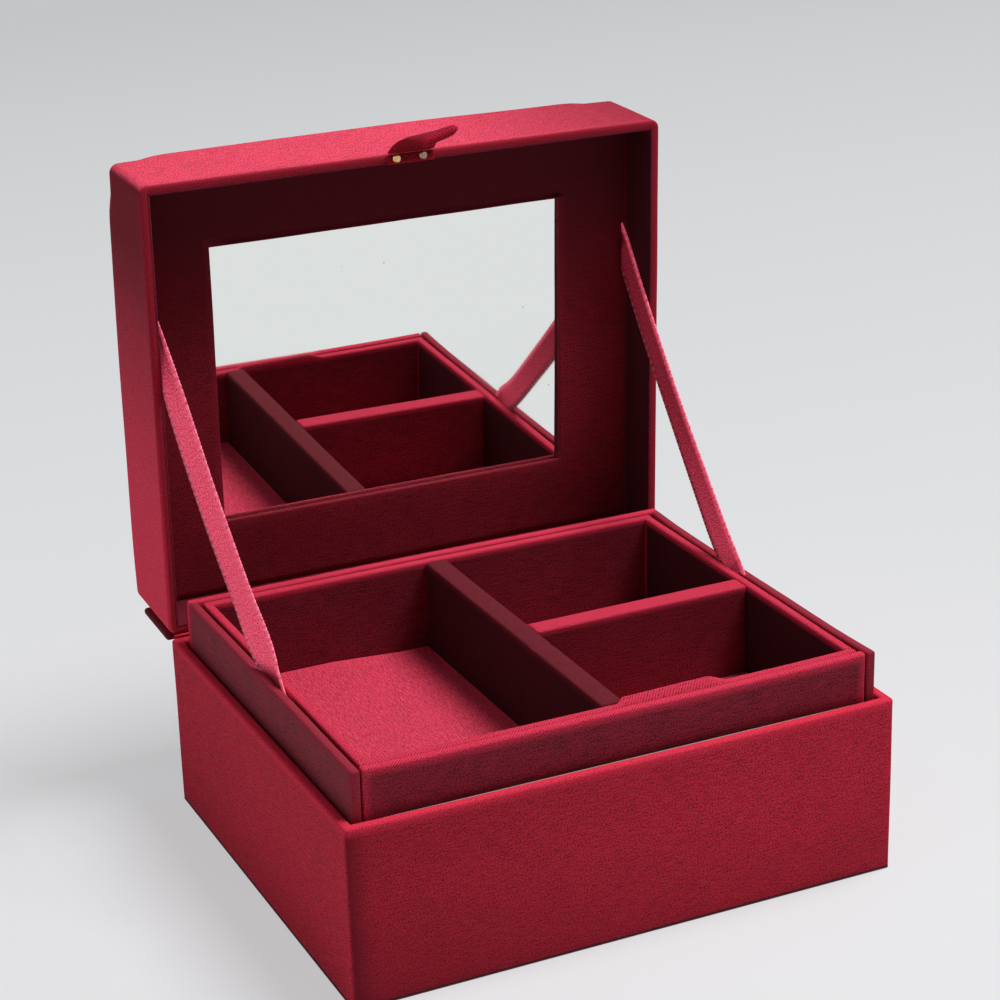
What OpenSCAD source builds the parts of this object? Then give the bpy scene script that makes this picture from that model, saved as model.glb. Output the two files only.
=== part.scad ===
// Fabric-covered vanity box: a hinged, padded lid with a framed mirror, a raised collar,
// a lift-out tray in three compartments, two stay ribbons and a pull tab.
// The front faces -Y and the box stands on z = 0. The lid is drawn open.

/* [Case] */
// Outer width of the case and of the lid
box_w = 220; // [160:1:300]
// Outer depth of the case and of the lid
box_d = 184; // [130:1:260]
// Height of the case walls, from the table to the ledge
wall_h = 70.5; // [55:0.5:120]
// Thickness of the case's greyboard
board = 3; // [2:0.1:4]
// Thickness of the covering cloth with its paste
cloth = 0.5; // [0.3:0.05:0.8]
// Thickness of the sheet glued under the case
sole_t = 0.6; // [0.4:0.1:1.5]
// Radius of the case's upright corners over the cloth
case_corner_r = 1.5; // [1:0.1:4]
// Height of the cloth turned in over the case walls
turn_in_h = 12; // [5:1:20]
// Thickness of the cloth-covered card on the case floor
floor_card = 1.4; // [0.8:0.1:3]

/* [Collar] */
// Height that the collar stands above the ledge
collar_rise = 18.3; // [10:0.1:20]
// Thickness of a cloth-covered collar board
collar_t = 3.6; // [2.5:0.1:5]
// Gap between case wall and collar, at the front and sides
collar_gap = 1.2; // [1.1:0.1:3]
// Gap between case wall and collar at the back, beside the hinge cloth
collar_gap_back = 3; // [1.2:0.1:5]
// Clearance of the closing lid's lining past the front of the collar
swing_clear = 0.3; // [0.2:0.05:1]
// Open joint between the front collar board and the side boards
collar_joint = 0.7; // [0.3:0.1:1.5]

/* [Tray] */
// Depth inside the tray, from its rim to its floor
tray_depth = 37; // [20:0.5:45]
// Thickness of a cloth-covered tray wall
tray_wall = 3.6; // [2.5:0.1:5]
// Thickness of the board under the tray
tray_board = 2.4; // [1.5:0.1:4]
// Thickness of the cloth-covered cards on the tray's floor
tray_card = 1.2; // [0.6:0.1:2]
// Slit between tray and collar at each side, where the ribbons pass
tray_gap_side = 1.6; // [1.4:0.1:3]
// Slit between tray and collar at the front and back
tray_gap_end = 0.9; // [0.5:0.1:2]
// How far the tray's rim lies below the collar
tray_drop = 0.5; // [0:0.1:3]
// Thickness of the two padded dividers
divider_t = 9; // [3:0.1:10]
// How far the dividers lie below the tray's rim
divider_drop = 0.3; // [0:0.1:5]
// Middle of the long divider, from the box's middle
long_divider_x = -0.8; // [-30:0.1:30]
// Middle of the cross divider, from the box's middle
cross_divider_y = -3.7; // [-30:0.1:30]
// Thickness of the strips that hold the tray up
rest_t = 2.4; // [1.5:0.1:4]
// Clearance around each loose-laid card
card_clear = 0.2; // [0.1:0.05:0.5]

/* [Lid] */
// Angle to which the ribbons let the lid open
lid_open = 88.3; // [70:0.1:110]
// Gap between ledge and lid rim, filled by the tab's tape and tacks
lid_gap = 1.8; // [1.6:0.1:3]
// Height of the lid's walls, from the rim to the top board
lid_wall_h = 38; // [34:0.5:60]
// Thickness of the lid's wall boards
lid_board = 2.2; // [1.5:0.1:3]
// Thickness of the lining strips inside the lid's walls
lid_lining = 1.3; // [0.8:0.1:1.4]
// Thickness of the lid's top board
top_board = 3; // [2:0.1:5]
// Radius of the lid's corners over the cloth
lid_corner_r = 3.5; // [2:0.1:8]
// Height of the pad's rounded edge
pad_edge_h = 4; // [2:0.1:8]
// Width of the pad's rounded edge
pad_edge_w = 6; // [3:0.1:15]
// Rise of the pad from its edge to its middle
pad_crown = 4; // [1:0.1:12]

/* [Mirror] */
// Depth from the lid's rim to the face of the mirror frame
mirror_recess = 22.8; // [20:0.1:26]
// Width of the window in the mirror frame
window_w = 152.6; // [90:0.1:180]
// Height of the window in the mirror frame
window_h = 114.7; // [60:0.1:140]
// Thickness of the cloth-covered mirror frame
frame_card = 2; // [1:0.1:3]
// Thickness of the mirror glass
glass_t = 2; // [1:0.1:4]
// Overlap of the frame over each edge of the glass
glass_lap = 4; // [2:0.5:8]
// Thickness of the card behind the glass
backing_t = 1.5; // [1:0.1:3]
// Width of the strips that carry the mirror frame
spacer_w = 7; // [4:0.5:10]
// Width of the glued margin of the backing card around the glass
backing_margin = 5; // [3:0.5:8]

/* [Hinge] */
// Height of the stiff hinge leaf on the lid's back
leaf_h = 30; // [15:0.5:34]
// Thickness of the stiff hinge leaf
leaf_t = 3; // [1.5:0.1:4]
// Height of the hinge cloth glued to the case's back
strip_h = 30; // [15:1:50]
// Radius of the rolled fold of hinge cloth on the hinge axis
fold_r = 0.5; // [0.3:0.05:0.6]
// Gap between the ledge and the rolled fold
hinge_lift = 0.2; // [0.1:0.05:0.5]

/* [Stay ribbons] */
// Width of a ribbon
ribbon_w = 14; // [6:0.5:20]
// Thickness of a ribbon
ribbon_t = 0.8; // [0.4:0.1:1]
// Place of the left ribbon's lower end along the collar, from the middle
left_low_y = -5; // [-30:0.5:30]
// Distance of the left ribbon's upper end from the hinge, along the lid
left_high_u = 140; // [90:0.5:150]
// Place of the right ribbon's lower end along the collar, from the middle
right_low_y = 12; // [-30:0.5:30]
// Distance of the right ribbon's upper end from the hinge, along the lid
right_high_u = 123; // [90:0.5:150]
// Turn of the left ribbon at its middle, in degrees
left_turn = 15; // [-20:1:20]
// Turn of the right ribbon at its middle, in degrees
right_turn = -4; // [-20:1:20]
// Sag of the left ribbon's middle below a straight line
left_sag = 9.5; // [0:0.5:20]
// Sag of the right ribbon's middle below a straight line
right_sag = 4.5; // [0:0.5:20]
// Length of ribbon glued to the collar below its edge
tail_low = 22; // [12:1:30]
// Length of ribbon glued behind the mirror frame
tail_high = 3; // [1:0.5:5]

/* [Pull tab] */
// Width of the tab and of its tape at the lid's rim
tab_w = 19.6; // [12:0.1:30]
// Width of the tab at its free end
tab_end_w = 15.6; // [8:0.1:30]
// Thickness of the tab at its root
tab_root_t = 1.4; // [0.8:0.1:2]
// Thickness of the tab at its folded end
tab_end_t = 3.2; // [1.5:0.1:4]
// Reach of the tab out from the lid's front
tab_out = 13; // [6:0.5:25]
// Drop of the tab's end below the lid's rim
tab_drop = 27; // [15:0.5:40]
// Bend of the tab away from a straight line, at each end, in degrees
tab_bend = 14; // [2:1:25]
// Radius of the rolled fold on the tab's hinge line
tab_fold_r = 0.7; // [0.4:0.05:0.8]
// Thickness of the tape tacked to the rim
tape_t = 0.8; // [0.5:0.05:0.9]
// Distance between the two tacks
tack_pitch = 11.4; // [7:0.1:15]
// Radius of a tack's head
tack_head_r = 1.75; // [1.2:0.05:1.8]
// Height of a tack's head
tack_head_h = 0.7; // [0.4:0.05:0.7]
// Radius of a tack's nail
tack_nail_r = 0.4; // [0.3:0.05:0.5]
// Length of a tack's nail
tack_nail_l = 8; // [5:0.5:14]

/* [Hidden] */

$fn = 48;
crimson = [0.55, 0.11, 0.18];
deep_red = [0.38, 0.06, 0.12];
rose = [0.8, 0.2, 0.32];
greyboard = [0.55, 0.52, 0.48];
brass = [0.78, 0.62, 0.3];

// Case: from outside to inside the wall is cloth, board, cloth, then the gap to the collar
wall_t = board + 2 * cloth;
ledge = wall_t + collar_gap;
ledge_back = wall_t + collar_gap_back;
hinge_y = box_d / 2;
hinge_z = wall_h + fold_r + hinge_lift;
lid_wall_t = cloth + lid_board + lid_lining;
swing_r = box_d - lid_wall_t - swing_clear;
swing_rise = wall_h + collar_rise - hinge_z;
ledge_front = max(ledge, box_d - sqrt(pow(swing_r, 2) - pow(swing_rise, 2)));
board_in_x = box_w / 2 - cloth - board;
board_in_y = box_d / 2 - cloth - board;
floor_z = sole_t + board;
collar_top = wall_h + collar_rise;
collar_out_x = box_w / 2 - ledge;
collar_front_y = -box_d / 2 + ledge_front;
collar_back_y = box_d / 2 - ledge_back;
collar_in_x = collar_out_x - collar_t;
collar_in_front = collar_front_y + collar_t;
collar_in_back = collar_back_y - collar_t;

// Tray: it hangs inside the collar and stands on the rest strips
tray_x = collar_in_x - tray_gap_side;
tray_front = collar_in_front + tray_gap_end;
tray_back = collar_in_back - tray_gap_end;
tray_top = collar_top - tray_drop;
tray_floor = tray_top - tray_depth;
tray_card_z = tray_floor - tray_card;
tray_z = tray_card_z - tray_board;
tray_in_x = tray_x - tray_wall;
tray_in_front = tray_front + tray_wall;
tray_in_back = tray_back - tray_wall;
divider_top = tray_top - divider_drop;
long_left = long_divider_x - divider_t / 2;
long_right = long_divider_x + divider_t / 2;
cross_front = cross_divider_y - divider_t / 2;
cross_back = cross_divider_y + divider_t / 2;

// Lid, drawn closed: its rim lies lid_gap above the ledge
rim_z = wall_h + lid_gap;
lid_in_x = box_w / 2 - cloth - lid_board;
lid_in_y = box_d / 2 - cloth - lid_board;
frame_z = rim_z + mirror_recess;
glass_z = frame_z + frame_card;
backing_z = glass_z + glass_t;
board_z = rim_z + lid_wall_h;
pad_z = board_z + top_board;
lining_x = box_w / 2 - lid_wall_t;

// Strips behind the mirror frame stand this far inside their places
spacer_inset = 1;

// Ribbons: the lower end lies flat on the collar, the upper end passes a slot in the frame
ribbon_low_x = collar_in_x - ribbon_t / 2;
ribbon_high_x = lining_x - ribbon_t / 2 - card_clear;
slot_clear = 0.3;
slot_slant = 1.6;
slot_l = slot_slant * ribbon_w + 2 * frame_card;
cut_over = 1;
cut_through = 4 * frame_card;

// Tab: its rolled fold hangs just clear of the lid's front, and the nails enter the board
tab_gap = 0.2;
tab_axis_y = -box_d / 2 - tab_gap - tab_fold_r;
tab_axis_z = rim_z - tab_fold_r;
tack_inset = 0.2;
tack_dome = 0.8;
tack_y = -box_d / 2 + cloth + lid_board / 2 + tack_inset;
nail_clear = 0.05;

// Lays a part that is drawn closed into the open lid
module on_lid() {
    translate([0, hinge_y, hinge_z])
        rotate([-lid_open, 0, 0])
            translate([0, -hinge_y, -hinge_z])
                children();
}

// The place of a closed lid's point [y, z] once the lid is open
function opened(p) = [
    hinge_y + (p[0] - hinge_y) * cos(lid_open) + (p[1] - hinge_z) * sin(lid_open),
    hinge_z - (p[0] - hinge_y) * sin(lid_open) + (p[1] - hinge_z) * cos(lid_open)
];

// A box given by two opposite corners
module block(a, b) {
    translate(a)
        cube(b - a);
}

module rounded_rect(w, d, r) {
    square([w - 2 * r, d], center = true);
    square([w, d - 2 * r], center = true);
    for (x = [-1, 1], y = [-1, 1])
        translate([x * (w / 2 - r), y * (d / 2 - r)])
            circle(r);
}

module rounded_plate(w, d, r, z0, z1) {
    translate([0, 0, z0])
        linear_extrude(z1 - z0)
            rounded_rect(w, d, r);
}

// Keeps a board inside the cloth of the case or of the lid
module under_cloth(corner_r, z0, z1) {
    intersection() {
        rounded_plate(box_w - 2 * cloth, box_d - 2 * cloth, corner_r - cloth, z0, z1);
        children();
    }
}

// The case

module base_sole() {
    color(deep_red)
        rounded_plate(box_w, box_d, case_corner_r, 0, sole_t);
}

module base_bottom_board() {
    color(greyboard)
        block([-board_in_x, -board_in_y, sole_t], [board_in_x, board_in_y, floor_z]);
}

// side = -1 for the front wall and 1 for the back wall
module base_cross_wall(side) {
    color(greyboard)
        under_cloth(case_corner_r, sole_t, wall_h - cloth)
            translate([0, side * (board_in_y + board / 2), wall_h / 2])
                cube([box_w, board, wall_h], center = true);
}

module base_wall_front() {
    base_cross_wall(-1);
}

module base_wall_back() {
    base_cross_wall(1);
}

// side = -1 for the left wall and 1 for the right wall
module base_side_wall(side) {
    z0 = sole_t;
    z1 = wall_h - cloth;
    color(greyboard)
        translate([side * (board_in_x + board / 2), 0, (z0 + z1) / 2])
            cube([board, 2 * board_in_y, z1 - z0], center = true);
}

module base_wall_left() {
    base_side_wall(-1);
}

module base_wall_right() {
    base_side_wall(1);
}

module base_cover_cloth() {
    color(crimson)
        difference() {
            rounded_plate(box_w, box_d, case_corner_r, sole_t, wall_h);
            rounded_plate(box_w - 2 * cloth, box_d - 2 * cloth, case_corner_r - cloth,
                sole_t - cut_over, wall_h - turn_in_h);
            difference() {
                rounded_plate(box_w - 2 * cloth, box_d - 2 * cloth, case_corner_r - cloth,
                    wall_h - turn_in_h - cut_over, wall_h - cloth);
                translate([0, 0, wall_h / 2])
                    cube([2 * board_in_x, 2 * board_in_y, 2 * wall_h], center = true);
            }
            translate([0, 0, wall_h])
                cube([2 * board_in_x - 2 * cloth, 2 * board_in_y - 2 * cloth, 3 * turn_in_h],
                    center = true);
        }
}

module base_floor_lining() {
    edge = card_clear;
    color(rose)
        block([-collar_in_x + edge, collar_in_front + edge, floor_z],
            [collar_in_x - edge, collar_in_back - edge, floor_z + floor_card]);
}

// The collar

module collar_front() {
    end = collar_in_x - collar_joint;
    color(crimson)
        block([-end, collar_front_y, floor_z], [end, collar_in_front, collar_top]);
}

module collar_back() {
    color(crimson)
        block([-collar_out_x, collar_in_back, floor_z],
            [collar_out_x, collar_back_y, collar_top]);
}

module collar_side(side) {
    color(crimson)
        translate([side * (collar_in_x + collar_t / 2), 0, 0])
            block([-collar_t / 2, collar_front_y, floor_z],
                [collar_t / 2, collar_in_back, collar_top]);
}

module collar_left() {
    collar_side(-1);
}

module collar_right() {
    collar_side(1);
}

// The strips under the tray

module tray_rest_across(y0, y1) {
    color(deep_red)
        block([-collar_in_x + rest_t + card_clear, y0, floor_z + floor_card],
            [collar_in_x - rest_t - card_clear, y1, tray_z]);
}

module tray_rest_front() {
    y = collar_in_front + card_clear;
    tray_rest_across(y, y + rest_t);
}

module tray_rest_back() {
    y = collar_in_back - card_clear;
    tray_rest_across(y - rest_t, y);
}

module tray_rest_side(side) {
    color(deep_red)
        translate([side * (collar_in_x - card_clear / 2 - rest_t / 2), 0, 0])
            block([-rest_t / 2, collar_in_front + card_clear, floor_z + floor_card],
                [rest_t / 2, collar_in_back - card_clear, tray_z]);
}

module tray_rest_left() {
    tray_rest_side(-1);
}

module tray_rest_right() {
    tray_rest_side(1);
}

// Hinge cloth on the case's back, with the rolled fold that the lid turns on
module hinge_cloth() {
    w = box_w - 2 * case_corner_r;
    color(deep_red)
        union() {
            block([-w / 2, hinge_y, wall_h - strip_h], [w / 2, hinge_y + fold_r, hinge_z]);
            translate([-w / 2, hinge_y, hinge_z])
                rotate([0, 90, 0])
                    cylinder(h = w, r = fold_r);
        }
}

// The tray

module tray_bottom_board() {
    color(greyboard)
        block([-tray_in_x, tray_in_front, tray_z], [tray_in_x, tray_in_back, tray_card_z]);
}

module tray_wall_front() {
    color(crimson)
        block([-tray_x, tray_front, tray_z], [tray_x, tray_in_front, tray_top]);
}

module tray_wall_back() {
    color(crimson)
        block([-tray_x, tray_in_back, tray_z], [tray_x, tray_back, tray_top]);
}

module tray_side(side) {
    color(crimson)
        translate([side * (tray_in_x + tray_wall / 2), 0, 0])
            block([-tray_wall / 2, tray_in_front, tray_z],
                [tray_wall / 2, tray_in_back, tray_top]);
}

module tray_wall_left() {
    tray_side(-1);
}

module tray_wall_right() {
    tray_side(1);
}

module long_divider() {
    color(crimson)
        block([long_left, tray_in_front, tray_card_z], [long_right, tray_in_back, divider_top]);
}

module cross_divider() {
    color(crimson)
        block([long_right, cross_front, tray_card_z], [tray_in_x, cross_back, divider_top]);
}

module tray_card_between(x0, x1, y0, y1) {
    c = card_clear;
    color(rose)
        block([x0 + c, y0 + c, tray_card_z], [x1 - c, y1 - c, tray_floor]);
}

module tray_card_left() {
    tray_card_between(-tray_in_x, long_left, tray_in_front, tray_in_back);
}

module tray_card_back() {
    tray_card_between(long_right, tray_in_x, cross_back, tray_in_back);
}

module tray_card_front() {
    tray_card_between(long_right, tray_in_x, tray_in_front, cross_front);
}

// The lid's boards and linings, drawn closed

module lid_nail_holes() {
    for (side = [-1, 1])
        translate([side * tack_pitch / 2, tack_y, rim_z - tape_t - cut_over])
            cylinder(h = tack_nail_l + tape_t + 2 * cut_over, r = tack_nail_r + nail_clear);
}

module lid_cross_wall(side) {
    color(greyboard)
        under_cloth(lid_corner_r, rim_z + cloth, board_z)
            translate([0, side * (lid_in_y + lid_board / 2), rim_z + lid_wall_h / 2])
                cube([box_w, lid_board, lid_wall_h], center = true);
}

module lid_wall_front() {
    on_lid()
        difference() {
            lid_cross_wall(-1);
            lid_nail_holes();
        }
}

module lid_wall_back() {
    on_lid()
        lid_cross_wall(1);
}

module lid_side_wall(side) {
    color(greyboard)
        under_cloth(lid_corner_r, rim_z + cloth, board_z)
            translate([side * (lid_in_x + lid_board / 2), 0, rim_z + lid_wall_h / 2])
                cube([lid_board, 2 * lid_in_y, lid_wall_h], center = true);
}

module lid_wall_left() {
    on_lid()
        lid_side_wall(-1);
}

module lid_wall_right() {
    on_lid()
        lid_side_wall(1);
}

module lid_cross_lining(side) {
    color(deep_red)
        translate([0, side * (lid_in_y - lid_lining / 2), 0])
            block([-lid_in_x, -lid_lining / 2, rim_z], [lid_in_x, lid_lining / 2, frame_z]);
}

module lid_lining_front() {
    on_lid()
        lid_cross_lining(-1);
}

module lid_lining_back() {
    on_lid()
        lid_cross_lining(1);
}

module lid_side_lining(side) {
    end = lid_in_y - lid_lining;
    color(deep_red)
        translate([side * (lid_in_x - lid_lining / 2), 0, 0])
            block([-lid_lining / 2, -end, rim_z], [lid_lining / 2, end, frame_z]);
}

module lid_lining_left() {
    on_lid()
        lid_side_lining(-1);
}

module lid_lining_right() {
    on_lid()
        lid_side_lining(1);
}

module lid_top_board() {
    color(greyboard)
        on_lid()
            rounded_plate(box_w - 2 * cloth, box_d - 2 * cloth, lid_corner_r - cloth,
                board_z, pad_z);
}

// The lid's pad: a stack of rounded outlines that draw in as they rise
pad_rings = 9;
pad_corner_steps = 6;
pad_reach = box_d / 2;
pad_spread = 2.2;
pad_rounding = 0.2;
pad_corner_most = 0.9;

function pad_inset(k) = pad_reach * pow(k / (pad_rings + 1), pad_spread);
function pad_height(i) =
    pad_edge_h * sqrt(1 - pow(1 - min(i / pad_edge_w, 1), 2))
    + pad_crown * (1 - pow(1 - i / pad_reach, 2));

// One outline: half width a, half depth b and corner radius r, at height z
function outline(a, b, r, z) = [
    for (q = [0:3], s = [0:pad_corner_steps])
        let (t = 90 * (q + s / pad_corner_steps),
             sx = (q == 0 || q == 3) ? 1 : -1,
             sy = (q < 2) ? 1 : -1)
            [sx * (a - r) + r * cos(t), sy * (b - r) + r * sin(t), z]
];

function pad_outline(k, grow) =
    let (i = pad_inset(k),
         a = box_w / 2 - cloth - i + grow,
         b = box_d / 2 - cloth - i + grow,
         r = lid_corner_r - cloth + pad_rounding * i + grow)
        outline(a, b, min(r, pad_corner_most * b), pad_z + pad_height(i) + (k > 0 ? grow : 0));

// Joins a stack of outlines of n points into the faces of a closed skin
function stack_walls(count, n, flip) = [
    for (k = [0:count - 2], j = [0:n - 1])
        let (a = k * n + j, b = k * n + (j + 1) % n, c = a + n, d = b + n)
            each flip ? [[a, b, c], [d, c, b]] : [[b, a, c], [b, c, d]]
];

module lid_padding() {
    n = 4 * (pad_corner_steps + 1);
    rings = [for (k = [0:pad_rings]) each pad_outline(k, 0)];
    color(rose)
        on_lid()
            polyhedron(points = rings, faces = concat(
                [[for (j = [0:n - 1]) j]],
                [[for (j = [n - 1:-1:0]) pad_rings * n + j]],
                stack_walls(pad_rings + 1, n, false)));
}

module lid_top_cloth() {
    n = 4 * (pad_corner_steps + 1);
    m = (pad_rings + 1) * n;
    inner = [for (k = [0:pad_rings]) each pad_outline(k, 0)];
    outer = [for (k = [0:pad_rings]) each pad_outline(k, cloth)];
    inside = stack_walls(pad_rings + 1, n, true);
    outside = [for (f = stack_walls(pad_rings + 1, n, false)) [for (i = f) i + m]];
    hem = [
        for (j = [0:n - 1])
            let (k = (j + 1) % n)
                each [[j, m + j, m + k], [j, m + k, k]]
    ];
    color(crimson)
        on_lid()
            polyhedron(points = concat(inner, outer), faces = concat(
                inside, outside, hem,
                [[for (j = [0:n - 1]) pad_rings * n + j]],
                [[for (j = [n - 1:-1:0]) m + pad_rings * n + j]]));
}

// The cloth on the lid's walls, turned in under the rim
module lid_side_cloth() {
    color(crimson)
        on_lid()
            difference() {
                rounded_plate(box_w, box_d, lid_corner_r, rim_z, pad_z);
                rounded_plate(box_w - 2 * cloth, box_d - 2 * cloth, lid_corner_r - cloth,
                    rim_z + cloth, pad_z + cut_over);
                translate([0, 0, rim_z])
                    cube([2 * lid_in_x, 2 * lid_in_y, 4 * cloth], center = true);
                lid_nail_holes();
            }
}

// The mirror and what holds it

module ribbon_slot(side, high_u) {
    translate([side * ribbon_high_x, hinge_y - high_u, frame_z])
        cube([ribbon_t + 2 * slot_clear, slot_l, cut_through], center = true);
}

module mirror_frame() {
    edge = card_clear;
    color(deep_red)
        on_lid()
            difference() {
                block([-lid_in_x + edge, -lid_in_y + edge, frame_z],
                    [lid_in_x - edge, lid_in_y - edge, glass_z]);
                translate([0, 0, frame_z])
                    cube([window_w, window_h, cut_through], center = true);
                ribbon_slot(-1, left_high_u);
                ribbon_slot(1, right_high_u);
            }
}

module mirror_glass() {
    w = window_w + 2 * glass_lap;
    h = window_h + 2 * glass_lap;
    color([0.8, 0.85, 0.88])
        on_lid()
            block([-w / 2, -h / 2, glass_z], [w / 2, h / 2, backing_z]);
}

// Card behind the glass, with a pocket for it and a margin glued to the frame
module mirror_backing_card() {
    glass_w = window_w + 2 * glass_lap + 2 * card_clear;
    glass_h = window_h + 2 * glass_lap + 2 * card_clear;
    w = glass_w + 2 * backing_margin;
    h = glass_h + 2 * backing_margin;
    color(greyboard)
        on_lid()
            difference() {
                block([-w / 2, -h / 2, glass_z], [w / 2, h / 2, backing_z + backing_t]);
                block([-glass_w / 2, -glass_h / 2, glass_z - backing_t],
                    [glass_w / 2, glass_h / 2, backing_z]);
            }
}

// Card strips between mirror frame and top board; the ribbons' ends pass outside them
module mirror_spacers() {
    x = ribbon_high_x - ribbon_t / 2 - 2 * slot_clear - spacer_inset;
    y = lid_in_y - spacer_inset;
    color(greyboard)
        on_lid()
            for (side = [-1, 1]) {
                translate([side * (x - spacer_w / 2), 0, 0])
                    block([-spacer_w / 2, -y, glass_z], [spacer_w / 2, y, board_z]);
                translate([0, side * (y - spacer_w / 2), 0])
                    block([-x + spacer_w, -spacer_w / 2, glass_z],
                        [x - spacer_w, spacer_w / 2, board_z]);
            }
}

// The stiff leaf that the hinge cloth wraps, glued to the lid's back
module hinge_leaf() {
    w = box_w - 2 * lid_corner_r;
    r = leaf_t / 2;
    color(deep_red)
        on_lid()
            union() {
                block([-w / 2, hinge_y, rim_z + lid_gap], [w / 2, hinge_y + leaf_t,
                    rim_z + leaf_h]);
                translate([-w / 2, hinge_y + r, rim_z + leaf_h])
                    rotate([0, 90, 0])
                        cylinder(h = w, r = r);
            }
}

// The stay ribbons

// The low end is glued inside the collar, the high end behind the mirror frame, and the free
// run between them is cut off flat by the collar's edge and by the frame's face.
// Two-number points are [y, z] in the plane of the ribbon.
ribbon_steps = 20;
ribbon_lead = 1.5;

function ribbon_low(low_y) = [low_y, collar_top];
function ribbon_high(high_u) = opened([hinge_y - high_u, frame_z]);
function heading(p, q) = (q - p) / norm(q - p);
function across(dir) = [dir[1], -dir[0]];
function collar_normal() = [0, 1];
function frame_normal() = [sin(lid_open), cos(lid_open)];

// The edge point, k = -1 or 1, of a ribbon through c where a plane with normal n cuts it
function cut_edge(c, dir, n, k) =
    c + k * ribbon_w / 2 * (across(dir) - dir * (across(dir) * n) / (dir * n));
function cut_reach(dir, n) = ribbon_w / 2 * abs((across(dir) * n) / (dir * n));

// Four corners of the ribbon's section: flat in a cutting plane, or square to the run
function cut_section(x, c, dir, n) = [
    for (k = [[-1, -1], [1, -1], [1, 1], [-1, 1]])
        let (e = cut_edge(c, dir, n, k[0]))
            [x + k[1] * ribbon_t / 2, e[0], e[1]]
];
function square_section(x, c, dir, turn, side) =
    let (wide = concat([side * sin(turn)], cos(turn) * across(dir)),
         thick = concat([cos(turn)], -side * sin(turn) * across(dir)))
        [for (k = [[-1, -1], [1, -1], [1, 1], [-1, 1]])
            [x, c[0], c[1]] + wide * k[0] * ribbon_w / 2 + thick * k[1] * ribbon_t / 2];

module ribbon_run(side, low_y, high_u, turn, sag) {
    p = ribbon_low(low_y);
    q = ribbon_high(high_u);
    dir = heading(p, q);
    a = p + (cut_reach(dir, collar_normal()) + ribbon_lead) * dir;
    b = q - (cut_reach(dir, frame_normal()) + ribbon_lead) * dir;
    low_x = side * ribbon_low_x;
    high_x = side * ribbon_high_x;
    n = ribbon_steps;
    middle = [
        for (k = [0:n])
            let (t = k / n,
                 c = a + (b - a) * t - [0, sag * sin(180 * t)])
                each square_section(low_x + (high_x - low_x) * t, c, dir,
                    turn * sin(180 * t), side)
    ];
    points = concat(cut_section(low_x, p, dir, collar_normal()), middle,
        cut_section(high_x, q, dir, frame_normal()));
    m = n + 2;
    sides = [
        for (k = [0:m - 1], j = [0:3])
            let (e = 4 * k + j, f = 4 * k + (j + 1) % 4)
                each [[e, f, f + 4], [e, f + 4, e + 4]]
    ];
    color(rose)
        polyhedron(points = points, faces = concat(sides,
            [[3, 2, 1, 0], [4 * m, 4 * m + 1, 4 * m + 2, 4 * m + 3]]));
}

// A glued end: the flat strip between a cut and the end of the ribbon, in the Y-Z plane at x
module ribbon_end(x, c, dir, n, end) {
    color(rose)
        translate([x - ribbon_t / 2, 0, 0])
            rotate([90, 0, 90])
                linear_extrude(ribbon_t)
                    polygon([
                        cut_edge(c, dir, n, -1), cut_edge(c, dir, n, 1),
                        end + across(dir) * ribbon_w / 2, end - across(dir) * ribbon_w / 2
                    ]);
}

module ribbon_low_end(side, low_y, high_u) {
    p = ribbon_low(low_y);
    dir = heading(p, ribbon_high(high_u));
    ribbon_end(side * ribbon_low_x, p, dir, collar_normal(), p - tail_low * dir);
}

module ribbon_high_end(side, low_y, high_u) {
    q = ribbon_high(high_u);
    dir = heading(ribbon_low(low_y), q);
    tail = cut_reach(dir, frame_normal()) + tail_high;
    ribbon_end(side * ribbon_high_x, q, dir, frame_normal(), q + tail * dir);
}

module ribbon_left_low_end() {
    ribbon_low_end(-1, left_low_y, left_high_u);
}

module ribbon_left_high_end() {
    ribbon_high_end(-1, left_low_y, left_high_u);
}

module ribbon_right_low_end() {
    ribbon_low_end(1, right_low_y, right_high_u);
}

module ribbon_right_high_end() {
    ribbon_high_end(1, right_low_y, right_high_u);
}

module stay_ribbon_left() {
    ribbon_run(-1, left_low_y, left_high_u, left_turn, left_sag);
}

module stay_ribbon_right() {
    ribbon_run(1, right_low_y, right_high_u, right_turn, right_sag);
}

// The pull tab and its fixing, drawn on the closed lid

module tab_tape() {
    color(deep_red)
        on_lid()
            difference() {
                block([-tab_w / 2, -box_d / 2, rim_z - tape_t],
                    [tab_w / 2, -box_d / 2 + lid_wall_t, rim_z]);
                lid_nail_holes();
            }
}

module tab_tacks() {
    head_z = rim_z - tape_t - tack_head_h;
    color(brass)
        on_lid()
            for (side = [-1, 1])
                translate([side * tack_pitch / 2, tack_y, head_z])
                    union() {
                        cylinder(h = tack_head_h, r1 = tack_dome * tack_head_r, r2 = tack_head_r);
                        cylinder(h = tack_head_h + tack_nail_l, r = tack_nail_r);
                    }
}

// Side view of the tab: an arc from the fold's axis, thicker towards its folded end.
// Points are [out, down], measured from the axis.
tab_steps = 10;
tab_chord = norm([tab_out, tab_drop]);
tab_slope = atan2(tab_out, tab_drop);
tab_arc_r = tab_chord / (2 * sin(tab_bend));

function tab_angle(t) = tab_slope + tab_bend * (1 - 2 * t);
function tab_middle(t) = tab_arc_r * [
    cos(tab_angle(t)) - cos(tab_angle(0)),
    sin(tab_angle(0)) - sin(tab_angle(t))
];
function tab_half(t) = (tab_root_t + (tab_end_t - tab_root_t) * t) / 2;
function tab_edge(t, side) =
    tab_middle(t) + side * tab_half(t) * [cos(tab_angle(t)), -sin(tab_angle(t))];

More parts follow.
